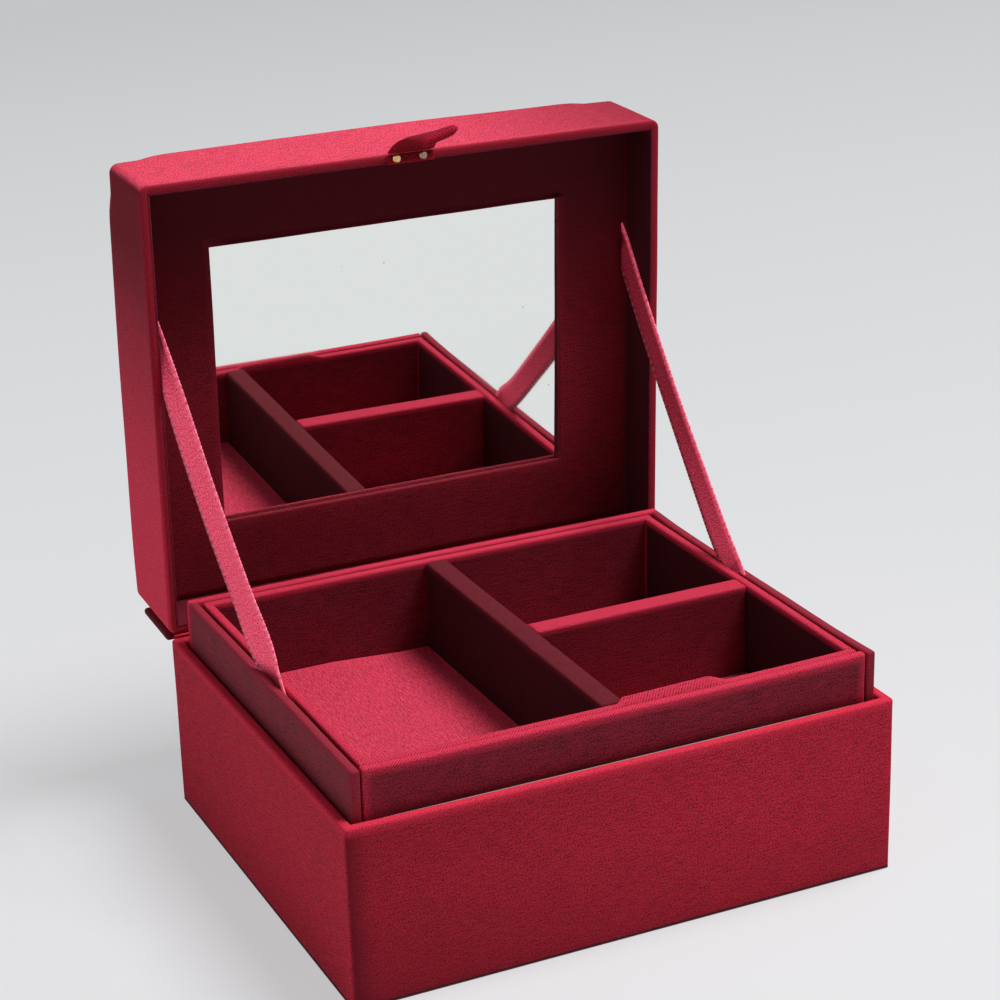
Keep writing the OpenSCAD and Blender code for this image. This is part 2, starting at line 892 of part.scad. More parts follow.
module tab_side_view() {
    outer = [for (k = [0:tab_steps]) tab_edge(k / tab_steps, 1)];
    inner = [for (k = [tab_steps:-1:0]) tab_edge(k / tab_steps, -1)];
    points = concat(outer, inner);
    polygon([for (p = points) [tab_axis_y - p[0], tab_axis_z - p[1]]]);
    end = tab_middle(1);
    translate([tab_axis_y - end[0], tab_axis_z - end[1]])
        circle(tab_half(1));
}

module pull_tab() {
    top = tab_axis_z + tab_fold_r;
    foot = tab_axis_z - tab_drop - tab_end_t;
    color(deep_red)
        on_lid()
            union() {
                intersection() {
                    translate([-tab_w / 2, 0, 0])
                        rotate([90, 0, 90])
                            linear_extrude(tab_w)
                                tab_side_view();
                    rotate([90, 0, 0])
                        linear_extrude(2 * box_d)
                            polygon([[-tab_w / 2, top], [tab_w / 2, top],
                                [tab_end_w / 2, foot], [-tab_end_w / 2, foot]]);
                }
                translate([-tab_w / 2, tab_axis_y, tab_axis_z])
                    rotate([0, 90, 0])
                        cylinder(h = tab_w, r = tab_fold_r);
            }
}

base_sole();
base_bottom_board();
base_wall_front();
base_wall_back();
base_wall_left();
base_wall_right();
base_cover_cloth();
base_floor_lining();
collar_front();
collar_back();
collar_left();
collar_right();
tray_rest_front();
tray_rest_back();
tray_rest_left();
tray_rest_right();
hinge_cloth();
tray_bottom_board();
tray_wall_front();
tray_wall_back();
tray_wall_left();
tray_wall_right();
long_divider();
cross_divider();
tray_card_left();
tray_card_back();
tray_card_front();
lid_wall_front();
lid_wall_back();
lid_wall_left();
lid_wall_right();
lid_lining_front();
lid_lining_back();
lid_lining_left();
lid_lining_right();
lid_top_board();
lid_padding();
lid_top_cloth();
lid_side_cloth();
mirror_frame();
mirror_glass();
mirror_backing_card();
mirror_spacers();
hinge_leaf();
ribbon_left_low_end();
stay_ribbon_left();
ribbon_left_high_end();
ribbon_right_low_end();
stay_ribbon_right();
ribbon_right_high_end();
tab_tape();
tab_tacks();
pull_tab();
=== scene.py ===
import math

import bmesh
import bpy
from mathutils import Matrix, Vector, noise
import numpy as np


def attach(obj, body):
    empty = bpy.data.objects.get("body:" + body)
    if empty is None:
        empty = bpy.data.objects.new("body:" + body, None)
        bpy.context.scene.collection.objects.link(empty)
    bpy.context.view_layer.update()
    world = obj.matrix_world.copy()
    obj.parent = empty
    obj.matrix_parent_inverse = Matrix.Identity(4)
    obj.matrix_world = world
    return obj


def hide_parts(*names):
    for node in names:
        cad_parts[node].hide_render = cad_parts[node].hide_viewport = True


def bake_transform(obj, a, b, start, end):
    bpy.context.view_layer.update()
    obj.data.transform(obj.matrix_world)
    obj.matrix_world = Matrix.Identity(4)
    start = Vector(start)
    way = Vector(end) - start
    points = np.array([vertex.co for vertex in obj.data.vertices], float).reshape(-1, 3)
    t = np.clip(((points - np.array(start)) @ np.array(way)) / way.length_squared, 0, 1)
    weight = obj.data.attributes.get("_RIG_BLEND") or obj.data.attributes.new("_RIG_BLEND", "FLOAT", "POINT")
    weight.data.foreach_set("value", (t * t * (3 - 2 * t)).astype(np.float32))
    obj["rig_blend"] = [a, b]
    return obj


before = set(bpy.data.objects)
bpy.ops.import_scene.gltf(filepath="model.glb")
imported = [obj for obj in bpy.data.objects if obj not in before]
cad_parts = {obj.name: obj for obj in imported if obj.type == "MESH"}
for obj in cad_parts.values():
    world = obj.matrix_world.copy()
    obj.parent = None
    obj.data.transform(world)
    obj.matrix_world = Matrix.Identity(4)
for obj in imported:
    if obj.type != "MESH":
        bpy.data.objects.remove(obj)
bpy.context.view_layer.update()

MM = 0.001


# Case boards. Grey pulp board, cut square and glued at the corners; the cloth hides nearly
# all of it. A thin sheet is glued under the case; it is painted dark so that its edge shows
# as a painted shade line at the table.
def paint(red, green, blue):
    """A colour given as it looks on a screen, 0 to 255, as a shader's own numbers"""
    parts = [v / 255 for v in (red, green, blue)]
    return [v / 12.92 if v <= 0.04045 else ((v + 0.055) / 1.055) ** 2.4 for v in parts] + [1]


def feed(tree, socket, value):
    """Links a node's output to a socket, or sets the socket's plain value"""
    if isinstance(value, bpy.types.NodeSocket):
        tree.links.new(value, socket)
    else:
        socket.default_value = value


def place(tree, kind, inputs=None, **settings):
    """A node with its settings and its inputs, which are plain values or other nodes' outputs"""
    node = tree.nodes.new("ShaderNode" + kind)
    for key, value in settings.items():
        setattr(node, key, value)
    for key, value in (inputs or {}).items():
        feed(tree, node.inputs[key], value)
    return node


def reckon(tree, operation, *values, **settings):
    """A sum worked out from one to three values"""
    return place(tree, "Math", dict(enumerate(values)), operation=operation,
                 **settings).outputs[0]


def ramp(tree, value, low, high, start=0.0, end=1.0, **settings):
    """A value between two limits, stretched to run from start to end"""
    return place(tree, "MapRange", {"Value": value, "From Min": low, "From Max": high,
                                    "To Min": start, "To Max": end}, **settings).outputs[0]


def blend_colour(tree, factor, first, second):
    """A mix of two colours by a factor"""
    return place(tree, "Mix", {0: factor, 6: first, 7: second}, data_type="RGBA").outputs[2]


def finish_of(name, **values):
    """A material, its node tree and its shader, with plain numbers set on the shader"""
    material = bpy.data.materials.new(name)
    material.use_nodes = True
    tree = material.node_tree
    shader = tree.nodes["Principled BSDF"]
    for key, value in values.items():
        shader.inputs[key.replace("_", " ")].default_value = value
    return material, tree, shader


def flecked(name, dark, light, kind, texture, **values):
    """A finish that varies between two colours by a fine texture, and the texture's value"""
    material, tree, shader = finish_of(name, **values)
    where = place(tree, "TexCoord").outputs["Object"]
    fleck = place(tree, kind, {"Vector": where, **texture}).outputs[0]
    feed(tree, shader.inputs["Base Color"],
         blend_colour(tree, fleck, paint(*dark), paint(*light)))
    return material, tree, shader, fleck


def emboss(tree, shader, **inputs):
    """Fine relief from a height"""
    bump = place(tree, "Bump", inputs)
    feed(tree, shader.inputs["Normal"], bump.outputs["Normal"])


def dress(material, *nodes):
    """Gives CAD nodes this material"""
    for node in nodes:
        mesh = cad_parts[node].data
        mesh.materials.clear()
        mesh.materials.append(material)


greyboard, tree, shader, pulp = flecked("greyboard", (118, 110, 98), (162, 154, 140), "TexNoise",
                                        {"Scale": 900.0, "Detail": 4.0}, Roughness=0.9)
emboss(tree, shader, Height=pulp, Distance=0.0001)
dress(greyboard, "base_bottom_board", "base_wall_front", "base_wall_back", "base_wall_left",
      "base_wall_right")
sole = flecked("sole_sheet", (48, 8, 16), (84, 16, 30), "TexNoise",
               {"Scale": 1400.0, "Detail": 3.0}, Roughness=0.8)[0]
dress(sole, "base_sole")


# Case cloth. One crimson twill with a short nap, pasted round the four walls and turned in
# over their top edges, so the rim is soft; its threads are painted lighter, partly wear and
# partly a painted highlight.
def in_millimetres(tree, where):
    """A place on the cloth, stored in metres, in millimetres"""
    return place(tree, "VectorMath", {0: where, "Scale": 1 / MM}, operation="SCALE").outputs[0]


def weave_group():
    """Diagonal twill, thick and thin threads, and the patches where the nap lies flat"""
    group = bpy.data.node_groups.new("pasted twill", "ShaderNodeTree")
    sockets = group.interface
    sockets.new_socket(name="Cloth", in_out="INPUT", socket_type="NodeSocketVector")
    for name, start in (("Twill Pitch", 0.85), ("Slub Length", 7.0), ("Patch Size", 30.0)):
        sockets.new_socket(name=name, in_out="INPUT",
                           socket_type="NodeSocketFloat").default_value = start
    for name in ("Height", "Slub", "Grain", "Patches", "Twill"):
        sockets.new_socket(name=name, in_out="OUTPUT", socket_type="NodeSocketFloat")
    source = group.nodes.new("NodeGroupInput").outputs
    result = group.nodes.new("NodeGroupOutput").inputs

    def figure(operation, *values):
        return reckon(group, operation, *values)

    def cloudy(**inputs):
        return place(group, "TexNoise", inputs).outputs[0]

    flat = in_millimetres(group, source["Cloth"])
    along, across, off = place(group, "SeparateXYZ", {0: flat}).outputs
    grain = cloudy(Vector=flat, Scale=1.7, Detail=2.0, Roughness=0.6)
    drawn = place(group, "CombineXYZ", {0: figure("DIVIDE", along, source["Slub Length"]),
                                        1: figure("MULTIPLY", across, 1.3), 2: off})
    slub = cloudy(Vector=drawn.outputs[0], Scale=1.0, Detail=3.0, Roughness=0.55)
    spread = place(group, "VectorMath", {0: flat, 1: (1.0, 1.4, 1.0)}, operation="MULTIPLY")
    patches = cloudy(Vector=spread.outputs[0], Detail=4.0, Roughness=0.6, Distortion=1.2,
                     Scale=figure("DIVIDE", 1.0, source["Patch Size"]))
    diagonal_turn = 4.443
    turn = figure("MULTIPLY", figure("SUBTRACT", along, across),
                  figure("DIVIDE", diagonal_turn, source["Twill Pitch"]))
    turn = figure("ADD", turn, figure("MULTIPLY", grain, 1.6))
    twill = figure("MULTIPLY_ADD", figure("SINE", turn), 0.5, 0.5)
    height = figure("MULTIPLY_ADD", slub, 1.1, figure("MULTIPLY", twill, 0.35))
    feed(group, result["Height"], figure("MULTIPLY_ADD", grain, 0.9, height))
    for name, value, low, high in (("Slub", slub, 0.32, 0.68), ("Grain", grain, 0.36, 0.64),
                                   ("Patches", patches, 0.42, 0.62), ("Twill", twill, 0.1, 0.9)):
        feed(group, result[name], ramp(group, value, low, high))
    return group


pasted_twill = weave_group()


def stored(tree, name):
    """A value kept on the mesh, such as how worn it is"""
    return place(tree, "Attribute", attribute_name=name).outputs["Fac"]


def cloth_finish(name, flat, deep, bright, rim, patch_size, slub_length=7.0, patch_share=0.6,
                 relief=0.25, away=(-1.0, 0.0, 0.0), shade=None, speckle=0.9):
    """Crimson cloth: plain colour, nap lying flat in patches, brighter threads, and rims painted
    lighter, partly wear and partly a painted highlight. Where shade is given, faces turned
    towards away and places marked laid take the shade colour: a painted shade"""
    material, tree, shader = finish_of(
        name, Roughness=0.8, Specular_IOR_Level=0.12, Sheen_Weight=0.1,
        Sheen_Roughness=0.45, Sheen_Tint=paint(255, 70, 100))
    cloth = place(tree, "UVMap", uv_map="cloth").outputs[0]
    weave = place(tree, "Group", {"Cloth": cloth, "Patch Size": patch_size,
                                  "Slub Length": slub_length}, node_tree=pasted_twill).outputs
    patchy = reckon(tree, "MULTIPLY", weave["Patches"], patch_share)
    ground = blend_colour(tree, patchy, paint(*flat), paint(*deep))
    hollow = ramp(tree, weave["Grain"], 0.5, 0.0, end=speckle)
    ground = blend_colour(tree, hollow, ground, paint(*[v * 0.6 for v in deep]))
    thread = reckon(tree, "MULTIPLY_ADD", weave["Slub"], 0.5, -0.25)
    thread = reckon(tree, "MULTIPLY_ADD", weave["Grain"], speckle, thread, use_clamp=True)
    ground = blend_colour(tree, thread, ground, paint(*bright))
    # Painted shade: faces turned towards away, and places marked laid, are blended to the shade colour.
    if shade:
        facing = place(tree, "TexCoord").outputs["Normal"]
        lean = place(tree, "VectorMath", {0: facing, 1: away}, operation="DOT_PRODUCT")
        lean = ramp(tree, lean.outputs["Value"], 0.3, 0.9)
        lean = reckon(tree, "MAXIMUM", lean, stored(tree, "laid"))
        ground = blend_colour(tree, lean, ground, paint(*shade))
    # Rims and tops take the rim colour: partly wear, partly a painted highlight where they face the light.
    ridge = reckon(tree, "ADD", weave["Twill"], weave["Grain"])
    worn_and_lit = reckon(tree, "MULTIPLY", stored(tree, "edge"), ramp(tree, ridge, 0.3, 1.5, 0.15, 1.3),
                  use_clamp=True)
    feed(tree, shader.inputs["Base Color"], blend_colour(tree, worn_and_lit, ground, paint(*rim)))
    emboss(tree, shader, Height=weave["Height"], Strength=relief, Distance=0.0004)
    return material


# Its shade colour is a painted shade on faces turned down and where laid marks the case.
cover_cloth = cloth_finish("crimson cover cloth", flat=(182, 27, 47), deep=(148, 20, 38),
                           bright=(226, 54, 80), rim=(230, 52, 80), patch_size=16.0,
                           slub_length=5.0, away=(0.0, 0.0, -1.0), shade=(108, 18, 32))


def cloth_mesh():
    """An empty mesh that keeps places on the flat cloth, nearness to rims and painted shade"""
    mesh = bmesh.new()
    kept = mesh.verts.layers.float
    return mesh, mesh.loops.layers.uv.new("cloth"), kept.new("edge"), kept.new("laid")


def piece_of(name, mesh, body=None):
    """A finished mesh as a piece, riding on a body"""
    data = bpy.data.meshes.new(name)
    mesh.to_mesh(data)
    mesh.free()
    piece = bpy.data.objects.new(name, data)
    bpy.context.scene.collection.objects.link(piece)
    if body:
        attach(piece, body)
    return piece


def skin(name, rows, cloth, edge, body, closed=False, caps=True, laid=None):
    """A woven skin over rows of points in millimetres, each row a loop. cloth(i, j) is its place
    on the flat cloth, edge(i, j) says how near a rim it is, where the rim colour is partly wear
    and partly a painted highlight, and laid(point) how much painted shade it takes
    there. caps close its two ends"""
    count, across = len(rows), len(rows[0])
    mesh, uv, worn_and_lit, shade_layer = cloth_mesh()
    verts = []
    for i, row in enumerate(rows):
        for j, point in enumerate(row):
            vert = mesh.verts.new(Vector(point) * MM)
            vert[worn_and_lit] = edge(i, j)
            vert[shade_layer] = laid(point) if laid else 0.0
            verts.append(vert)

    def face(places, flat):
        corners = [verts[(i % count) * across + j % across] for i, j in places]
        made = mesh.faces.new(corners)
        made.smooth = True
        for loop, (u, v) in zip(made.loops, flat):
            loop[uv].uv = (u * MM, v * MM)

    for i in range(count if closed else count - 1):
        for j in range(across):
            places = ((i, j), (i, j + 1), (i + 1, j + 1), (i + 1, j))
            face(places, [cloth(*p) for p in places])
    if caps:
        for i in (0, count - 1):
            for j in range(across // 2 - 1):
                places = ((i, j), (i, j + 1), (i, across - 2 - j), (i, across - 1 - j))
                thick = (Vector(rows[i][j]) - Vector(rows[i][across - 1 - j])).length
                (u, low), (_, high) = cloth(i, j), cloth(i, j + 1)
                face(places, [(u, low), (u, high), (u + thick, high), (u + thick, low)])
    bmesh.ops.remove_doubles(mesh, verts=mesh.verts, dist=2e-6)
    bmesh.ops.dissolve_degenerate(mesh, edges=mesh.edges, dist=1e-7)
    bmesh.ops.recalc_face_normals(mesh, faces=mesh.faces)
    return piece_of(name, mesh, body)


def wear(piece, material, slot, *nodes):
    """A piece's material, the name of its finish, which is not used, and the CAD nodes that it stands for"""
    piece.data.materials.append(material)
    if nodes:
        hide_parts(*nodes)


uneven_seed = 3
noise.seed_set(uneven_seed)


def waver(point, amount, length):
    """Moves a point in millimetres by a smooth unevenness, the same on every run"""
    return Vector(point) + noise.noise_vector(Vector(point) / length) * amount


def share(value):
    """A value held between nothing and the whole"""
    return min(1.0, max(0.0, value))


def distances(points):
    """How far along a line each of its points lies"""
    passed = [0.0]
    for a, b in zip(points, points[1:]):
        passed.append(passed[-1] + math.hypot(b[0] - a[0], b[1] - a[1]))
    return passed


def outline(half_w, half_d, radius, step=3.0, turns=6):
    """Round a rectangle with rounded corners, from the front left corner, and its lengths"""
    points = []
    for nx, ny, start in ((0, -1, 270), (1, 0, 0), (0, 1, 90), (-1, 0, 180)):
        half = half_w if ny else half_d
        count = max(2, round(half * 2 / step))
        reach = half - radius
        for k in range(count):
            along = -reach + 2 * reach * k / count
            points.append((nx * half_w - ny * along, ny * half_d + nx * along))
        for k in range(turns):
            turn = math.radians(start + 90 * k / turns)
            points.append(((nx - ny) * (half_w - radius) + radius * math.cos(turn),
                           (ny + nx) * (half_d - radius) + radius * math.sin(turn)))
    return points, distances(points + points[:1])


def arc(start, end, steps):
    """Evenly spaced turns, in radians, between two angles in degrees"""
    return [math.radians(start + (end - start) * k / steps) for k in range(steps + 1)]


case_w, case_d, case_r, wall_top, wall_low, wall_t = 110.0, 92.0, 1.5, 70.5, 0.6, 4.0
cloth_t, roll, turn_in, rim_out, rim_drop = 0.5, 1.3, 12.0, 0.4, 0.3
corner_shade_reach, side_shade_reach, foot_shade_reach = 9.0, 150.0, 40.0
profile = [(2.6, wall_low), (0.9, wall_low)]
profile += [(0.9 - 0.9 * math.sin(a), wall_low + 0.9 - 0.9 * math.cos(a)) for a in arc(20, 90, 3)]
profile += [(0.0, wall_low + 0.9 + (wall_top - roll - 1.5) * k / 24) for k in range(1, 24)]
profile += [(roll - roll * math.cos(a), wall_top - roll + roll * math.sin(a))
            for a in arc(0, 90, 5)]
profile += [(wall_t - roll + roll * math.sin(a), wall_top - roll + roll * math.cos(a))
            for a in arc(0, 90, 5)]
profile += [(wall_t, wall_top - turn_in), (wall_t - cloth_t, wall_top - turn_in),
            (wall_t - cloth_t, wall_top - 1.2), (cloth_t, wall_top - 1.2),
            (cloth_t, wall_low + 1.0), (2.6, wall_low + 0.5)]
ring, lengths = outline(case_w, case_d, case_r)
run = distances(profile)
rows = []
for depth, z in profile:
    row = []
    corner = max(case_r - depth, 0.06)
    w, d = case_w - depth - corner, case_d - depth - corner
    for x, y in ring:
        fx = max(abs(x) - (case_w - case_r), 0) / case_r
        fy = max(abs(y) - (case_d - case_r), 0) / case_r
        px = math.copysign(w + corner * fx, x) if fx else max(-w, min(w, x))
        py = math.copysign(d + corner * fy, y) if fy else max(-d, min(d, y))
        swell = 0.18 if 2 < z < wall_top - 2 and depth < 0.1 else 0.04
        bowed = (1 - (x / case_w) ** 4) * z / wall_top * (y < -80)
        row.append(waver((px, py - rim_out * bowed, z - rim_drop * bowed), swell, 34.0))
    rows.append(row)


def rim_wear_and_highlight(i, j):
    """The cloth is worn along the rim and painted lighter there, partly a painted highlight"""
    return share(1.35 - (wall_top - profile[i][1]) / 2.6)


def case_laid(point):
    """Painted shade: the cloth is darker near the front left corner and towards the foot"""
    x, y, z = point
    corner = (max(0.0, 1 - (x + case_w) / corner_shade_reach) * 0.55
              + max(0.0, 1 - (x + case_w) / side_shade_reach) * 0.35)
    return share(-y - 91.0) * min(1.0, corner + max(0.0, 1 - z / foot_shade_reach) * 0.35)


case_cloth = skin("case_cloth", rows, lambda i, j: (lengths[j], run[i % len(run)]),
                  rim_wear_and_highlight, "base", closed=True, caps=False, laid=case_laid)
wear(case_cloth, cover_cloth, "crimson_cover_cloth", "base_cover_cloth")


# Floor lining. A loose card in rose cloth lies on the case floor; it shows once the tray is
# out. Its cloth is turned under all round, which leaves a soft edge.
def covered_board(name, low, high, run, up, body, material, slot, nodes, top=1.1, foot=0.5,
                  end=0.9, step=3.0, bow=0.2, turn=None, sag=0.0, lean=0.0, ends=0.8):
    """A board in cloth between two corners, in millimetres. It runs along one axis and its
    top edge is its high side on another; each edge is rounded by the cloth. In the middle
    its top edge drops by sag and leans sideways by lean. Its top and ends take the rim colour,
    partly wear and partly a painted highlight, and ends says how much the ends take it"""
    across = 3 - run - up
    thick, tall, long = (high[k] - low[k] for k in (across, up, run))
    middle = (high[across] + low[across]) / 2
    top, foot, end = (min(v, thick / 2 - 0.05) for v in (top, foot, end))
    rise = max(2, round((tall - top - foot) / step))

    def half(inset):
        t, h = thick / 2 - inset, tall - inset
        r_foot, r_top = max(foot - inset, 0.03), max(top - inset, 0.03)
        side = [(-t + r_foot * (1 - math.sin(a)), inset + r_foot * (1 - math.cos(a)))
                for a in arc(0, 90, 3)]
        side += [(-t, inset + r_foot + (h - r_top - inset - r_foot) * k / rise)
                 for k in range(1, rise)]
        side += [(-t + r_top * (1 - math.cos(a)), h - r_top + r_top * math.sin(a))
                 for a in arc(0, 90, 4)]
        return side + [(-a, b) for a, b in reversed(side)]

    stops = [(end * (1 - math.cos(a)), end * (1 - math.sin(a))) for a in arc(0, 90, 3)]
    count = max(2, round((long - 2 * end) / step))
    stops += [(end + (long - 2 * end) * k / count, 0.0) for k in range(1, count)]
    stops += [(long - d, inset) for d, inset in reversed(stops[:4])]
    flat = half(0.0)
    around = distances(flat + flat[:1])
    rows = []
    for distance, inset in stops:
        row = []
        for t, h in half(inset):
            point = [0.0, 0.0, 0.0]
            slack = (1 - (2 * distance / long - 1) ** 4) * max(0.0, 1 - (tall - h) / 30)
            point[run] = low[run] + distance
            point[up] = low[up] + h - sag * slack
            point[across] = middle + t + lean * slack
            point = waver(waver(point, bow, 45.0), bow * 0.3, 9.0)
            row.append(turn(point) if turn else point)
        rows.append(row)

    def near(i, j):
        h = flat[j % len(flat)][1]
        rim = 1.3 - (tall - h) / (top + 0.9)
        distance = stops[i][0]
        side = 1.2 - min(distance, long - distance) / (end + 0.8)
        return share(max(rim, side * ends))

    piece = skin(name, rows, lambda i, j: (stops[i][0] + low[run], around[j] + low[up]),
                 near, body)
    wear(piece, material, slot, *nodes)


rose_cloth = cloth_finish("rose floor cloth", flat=(200, 40, 66), deep=(172, 32, 54),
                          bright=(248, 92, 122), rim=(232, 66, 94), patch_size=14.0,
                          slub_length=4.0, patch_share=0.5, speckle=0.6)
case_floor, lining_top = 3.6, 5.0
covered_board("floor_lining", (-101.0, -83.0, case_floor), (101.0, 81.2, lining_top), 0, 1,
              "base", rose_cloth, "rose_floor_cloth", ["base_floor_lining"], top=0.5, foot=0.5,
              end=0.5, step=6.0, bow=0.05)


# Collar. Four boards in a duller crimson cloth, glued inside the case, stand above its rim.
# The front board stops short of the side boards, and the slits show their folded ends.
collar_top = 88.8
collar_cloth = cloth_finish("collar cloth", flat=(122, 28, 44), deep=(80, 26, 36),
                            bright=(160, 44, 64), rim=(232, 56, 86), patch_size=20.0,
                            patch_share=0.9)
# The side boards wear a greyer copy of the collar cloth: a painted sheen.
side_cloth = cloth_finish("collar side cloth painted sheen", flat=(126, 40, 52), deep=(88, 42, 48),
                          bright=(156, 58, 72), rim=(160, 40, 60), patch_size=20.0,
                          patch_share=0.9)
for name, low, high, run_axis, cloth, sag, lean in (
        ("collar_back", (-104.8, 81.4), (104.8, 85.0), 0, collar_cloth, 0.0, 0.0),
        ("collar_left", (-104.8, -86.8), (-101.2, 81.4), 1, side_cloth, 0.0, 0.0),
        ("collar_right", (101.2, -86.8), (104.8, 81.4), 1, side_cloth, 0.5, -0.6),
        ("collar_front", (-100.5, -86.8), (100.5, -83.2), 0, collar_cloth, 0.7, 0.0)):
    covered_board(name + "_board", (*low, case_floor), (*high, collar_top), run_axis, 2, "base",
                  cloth, "crimson_lining_cloth", [name], sag=sag, lean=lean)


# Tray rests. Four strips of board in the collar's cloth are glued inside the collar, over the
# floor lining, and the tray sits on their top edges.
rest_top = 47.7
for name, low, high, run_axis in (
        ("tray_rest_front", (-98.6, -83.0), (98.6, -80.6), 0),
        ("tray_rest_back", (-98.6, 78.8), (98.6, 81.2), 0),
        ("tray_rest_left", (-101.1, -83.0), (-98.7, 81.2), 1),
        ("tray_rest_right", (98.7, -83.0), (101.1, 81.2), 1)):
    covered_board(name + "_strip", (*low, lining_top), (*high, rest_top), run_axis, 2, "base",
                  collar_cloth, "crimson_lining_cloth", [name], top=0.8, step=5.0, bow=0.05)


# Hinge cloth. A strip of the cover cloth is glued to the back of the case, and its rolled
# fold along the ledge is the line that the lid turns on.
hinge_y, hinge_z, fold_r = 92.0, 71.2, 0.5
strip_half, strip_low, strip_rise = 108.5, 40.5, 30.7
side_view = [(hinge_y + fold_r, strip_low + strip_rise * k / 10) for k in range(11)]
side_view += [(hinge_y + fold_r * math.cos(a), hinge_z + fold_r * math.sin(a))
              for a in arc(20, 160, 6)]
side_view += [(hinge_y - fold_r, hinge_z), (hinge_y - 0.3, hinge_z - 0.4),
              (hinge_y + 0.02, hinge_z - 0.75)]
side_view += [(hinge_y + 0.02, 70.4 - 29.9 * k / 9) for k in range(1, 10)]
stops = [-strip_half + 2 * strip_half * k / 62 for k in range(63)]
rows = [[waver((x, y, z), 0.05 if z < 70 else 0.0, 15.0) for y, z in side_view] for x in stops]
round_it = len(side_view)
hinge_strip = skin("hinge_strip", rows,
                   lambda i, j: (stops[i],
                                 side_view[j % round_it][1] + (2 if j % round_it > 17 else 0)),
                   lambda i, j: 0.7 if 10 < j % round_it < 18 else 0.0, "base", caps=False)
mesh = bmesh.new()
mesh.from_mesh(hinge_strip.data)
bmesh.ops.holes_fill(mesh, edges=[e for e in mesh.edges if e.is_boundary])
bmesh.ops.recalc_face_normals(mesh, faces=mesh.faces)
mesh.to_mesh(hinge_strip.data)
mesh.free()
wear(hinge_strip, cover_cloth, "crimson_cover_cloth", "hinge_cloth")


# Tray. A bottom board and four walls in crimson cloth, glued at the corners, lift out by
# hand. Their cloth is a darker copy of the collar's, darker still on faces turned left: a
# painted shade. Beside the long divider the front wall's lining has come unstuck.
tray_top = 88.3
dress(greyboard, "tray_bottom_board")
tray_cloth = cloth_finish("tray cloth painted shade", flat=(104, 26, 40), deep=(74, 20, 31),
                          bright=(140, 40, 58), rim=(226, 56, 86), patch_size=18.0,
                          patch_share=0.8, shade=(38, 7, 13))


def loose_lining(point):
    """The lining has come unstuck from the front wall beside the long divider and stands up"""
    x, y, z = point
    along = share((x - 1.0) / 1.5) * share((45.0 - x) / 7.0)
    inner = share((y + 82.0) / 2.6) * share((z - 84.5) / 3.0)
    return Vector((x, y + 0.3 * along * inner, z + (2.0 + 0.02 * x) * along * inner))


for name, low, high, run_axis, sag, turn in (
        ("tray_wall_front", (-99.6, -82.3), (99.6, -78.7), 0, 0.7, loose_lining),
        ("tray_wall_back", (-99.6, 76.9), (99.6, 80.5), 0, 0.0, None),
        ("tray_wall_left", (-99.6, -79.2), (-96.0, 77.4), 1, 0.0, None),
        ("tray_wall_right", (96.0, -79.2), (99.6, 77.4), 1, 0.0, None)):
    covered_board(name + "_board", (*low, rest_top), (*high, tray_top), run_axis, 2, "tray",
                  tray_cloth, "crimson_lining_cloth", [name], bow=0.12, sag=sag, turn=turn,
                  step=2.0)


# Dividers. Two thicker padded boards part the tray in three; their cloth is pulled over the
# top, where the twill shows. The long one wears a darker copy of the cloth, darker still on
# faces turned left, a painted shade, and is creased across.
tray_floor, divider_top = 50.1, 88.0
long_cloth = cloth_finish("long divider cloth painted shade", flat=(70, 13, 22), deep=(58, 11, 19),
                          bright=(110, 30, 42), rim=(102, 28, 39), patch_size=18.0,
                          patch_share=0.8, shade=(40, 8, 14), relief=0.4)
# Its shade colour is a painted shade on faces turned to the left.
cross_cloth = cloth_finish("cross divider cloth", flat=(122, 32, 48), deep=(92, 26, 38),
                           bright=(146, 40, 58), rim=(218, 54, 82), patch_size=18.0,
                           patch_share=0.8, shade=(58, 12, 20), relief=0.4)


def creased(point):
    """A shallow crease across the top of the long divider"""
    x, y, z = point
    return Vector((x, y, z - 0.35 * math.exp(-((y + 22.0) / 1.6) ** 2) * (z > 86)))


def askew(point):
    """The cross divider was glued in a degree off square"""
    x, y, z = point
    return Vector((x, y + 0.0083 * (x - 50.0), z))


for name, low, high, run_axis, cloth, turn in (
        ("long_divider", (-5.3, -78.7), (3.7, 76.9), 1, long_cloth, creased),
        ("cross_divider", (3.7, -8.2), (96.0, 0.8), 0, cross_cloth, askew)):
    covered_board(name + "_board", (*low, tray_floor), (*high, divider_top), run_axis, 2,
                  "tray", cloth, "crimson_lining_cloth", [name], top=1.0, bow=0.12, turn=turn,
                  step=2.0, ends=0.0)


# Floor cards. A loose card in rose cloth, its edges turned under, lies on the floor of each of
# the tray's three compartments. The left one has begun to curl.
card_top = 51.3


def curled(point):
    """The left card has curled up along its back edge and a little beside the divider"""
    x, y, z = point
    back = share((y - 52.0) / 24.7) ** 2 * share((-18.0 - x) / 30.0)
    return Vector((x, y, z + 1.9 * back))


for name, low, high, turn in (
        ("tray_card_left", (-95.8, -78.5), (-5.5, 76.7), curled),
        ("tray_card_back", (3.9, 1.0), (95.8, 76.7), None),
        ("tray_card_front", (3.9, -78.5), (95.8, -8.4), None)):
    covered_board(name + "_cloth", (*low, tray_floor), (*high, card_top), 1, 0, "tray",
                  rose_cloth, "rose_floor_cloth", [name], top=0.5, foot=0.5, end=0.5, bow=0.08,
                  turn=turn)


# Lid boards. Four wall boards and a top board, its corners cut round, make the lid's shell
# under its cloth. The backing card and the spacers behind the mirror are bare board too.
dress(greyboard, "lid_wall_front", "lid_wall_back", "lid_wall_left", "lid_wall_right",
      "mirror_backing_card", "mirror_spacers")
lid_open = math.radians(88.3)
top_w, top_d, top_corner, top_under, top_over = 108.6, 90.6, 15.0, 110.35, 113.25


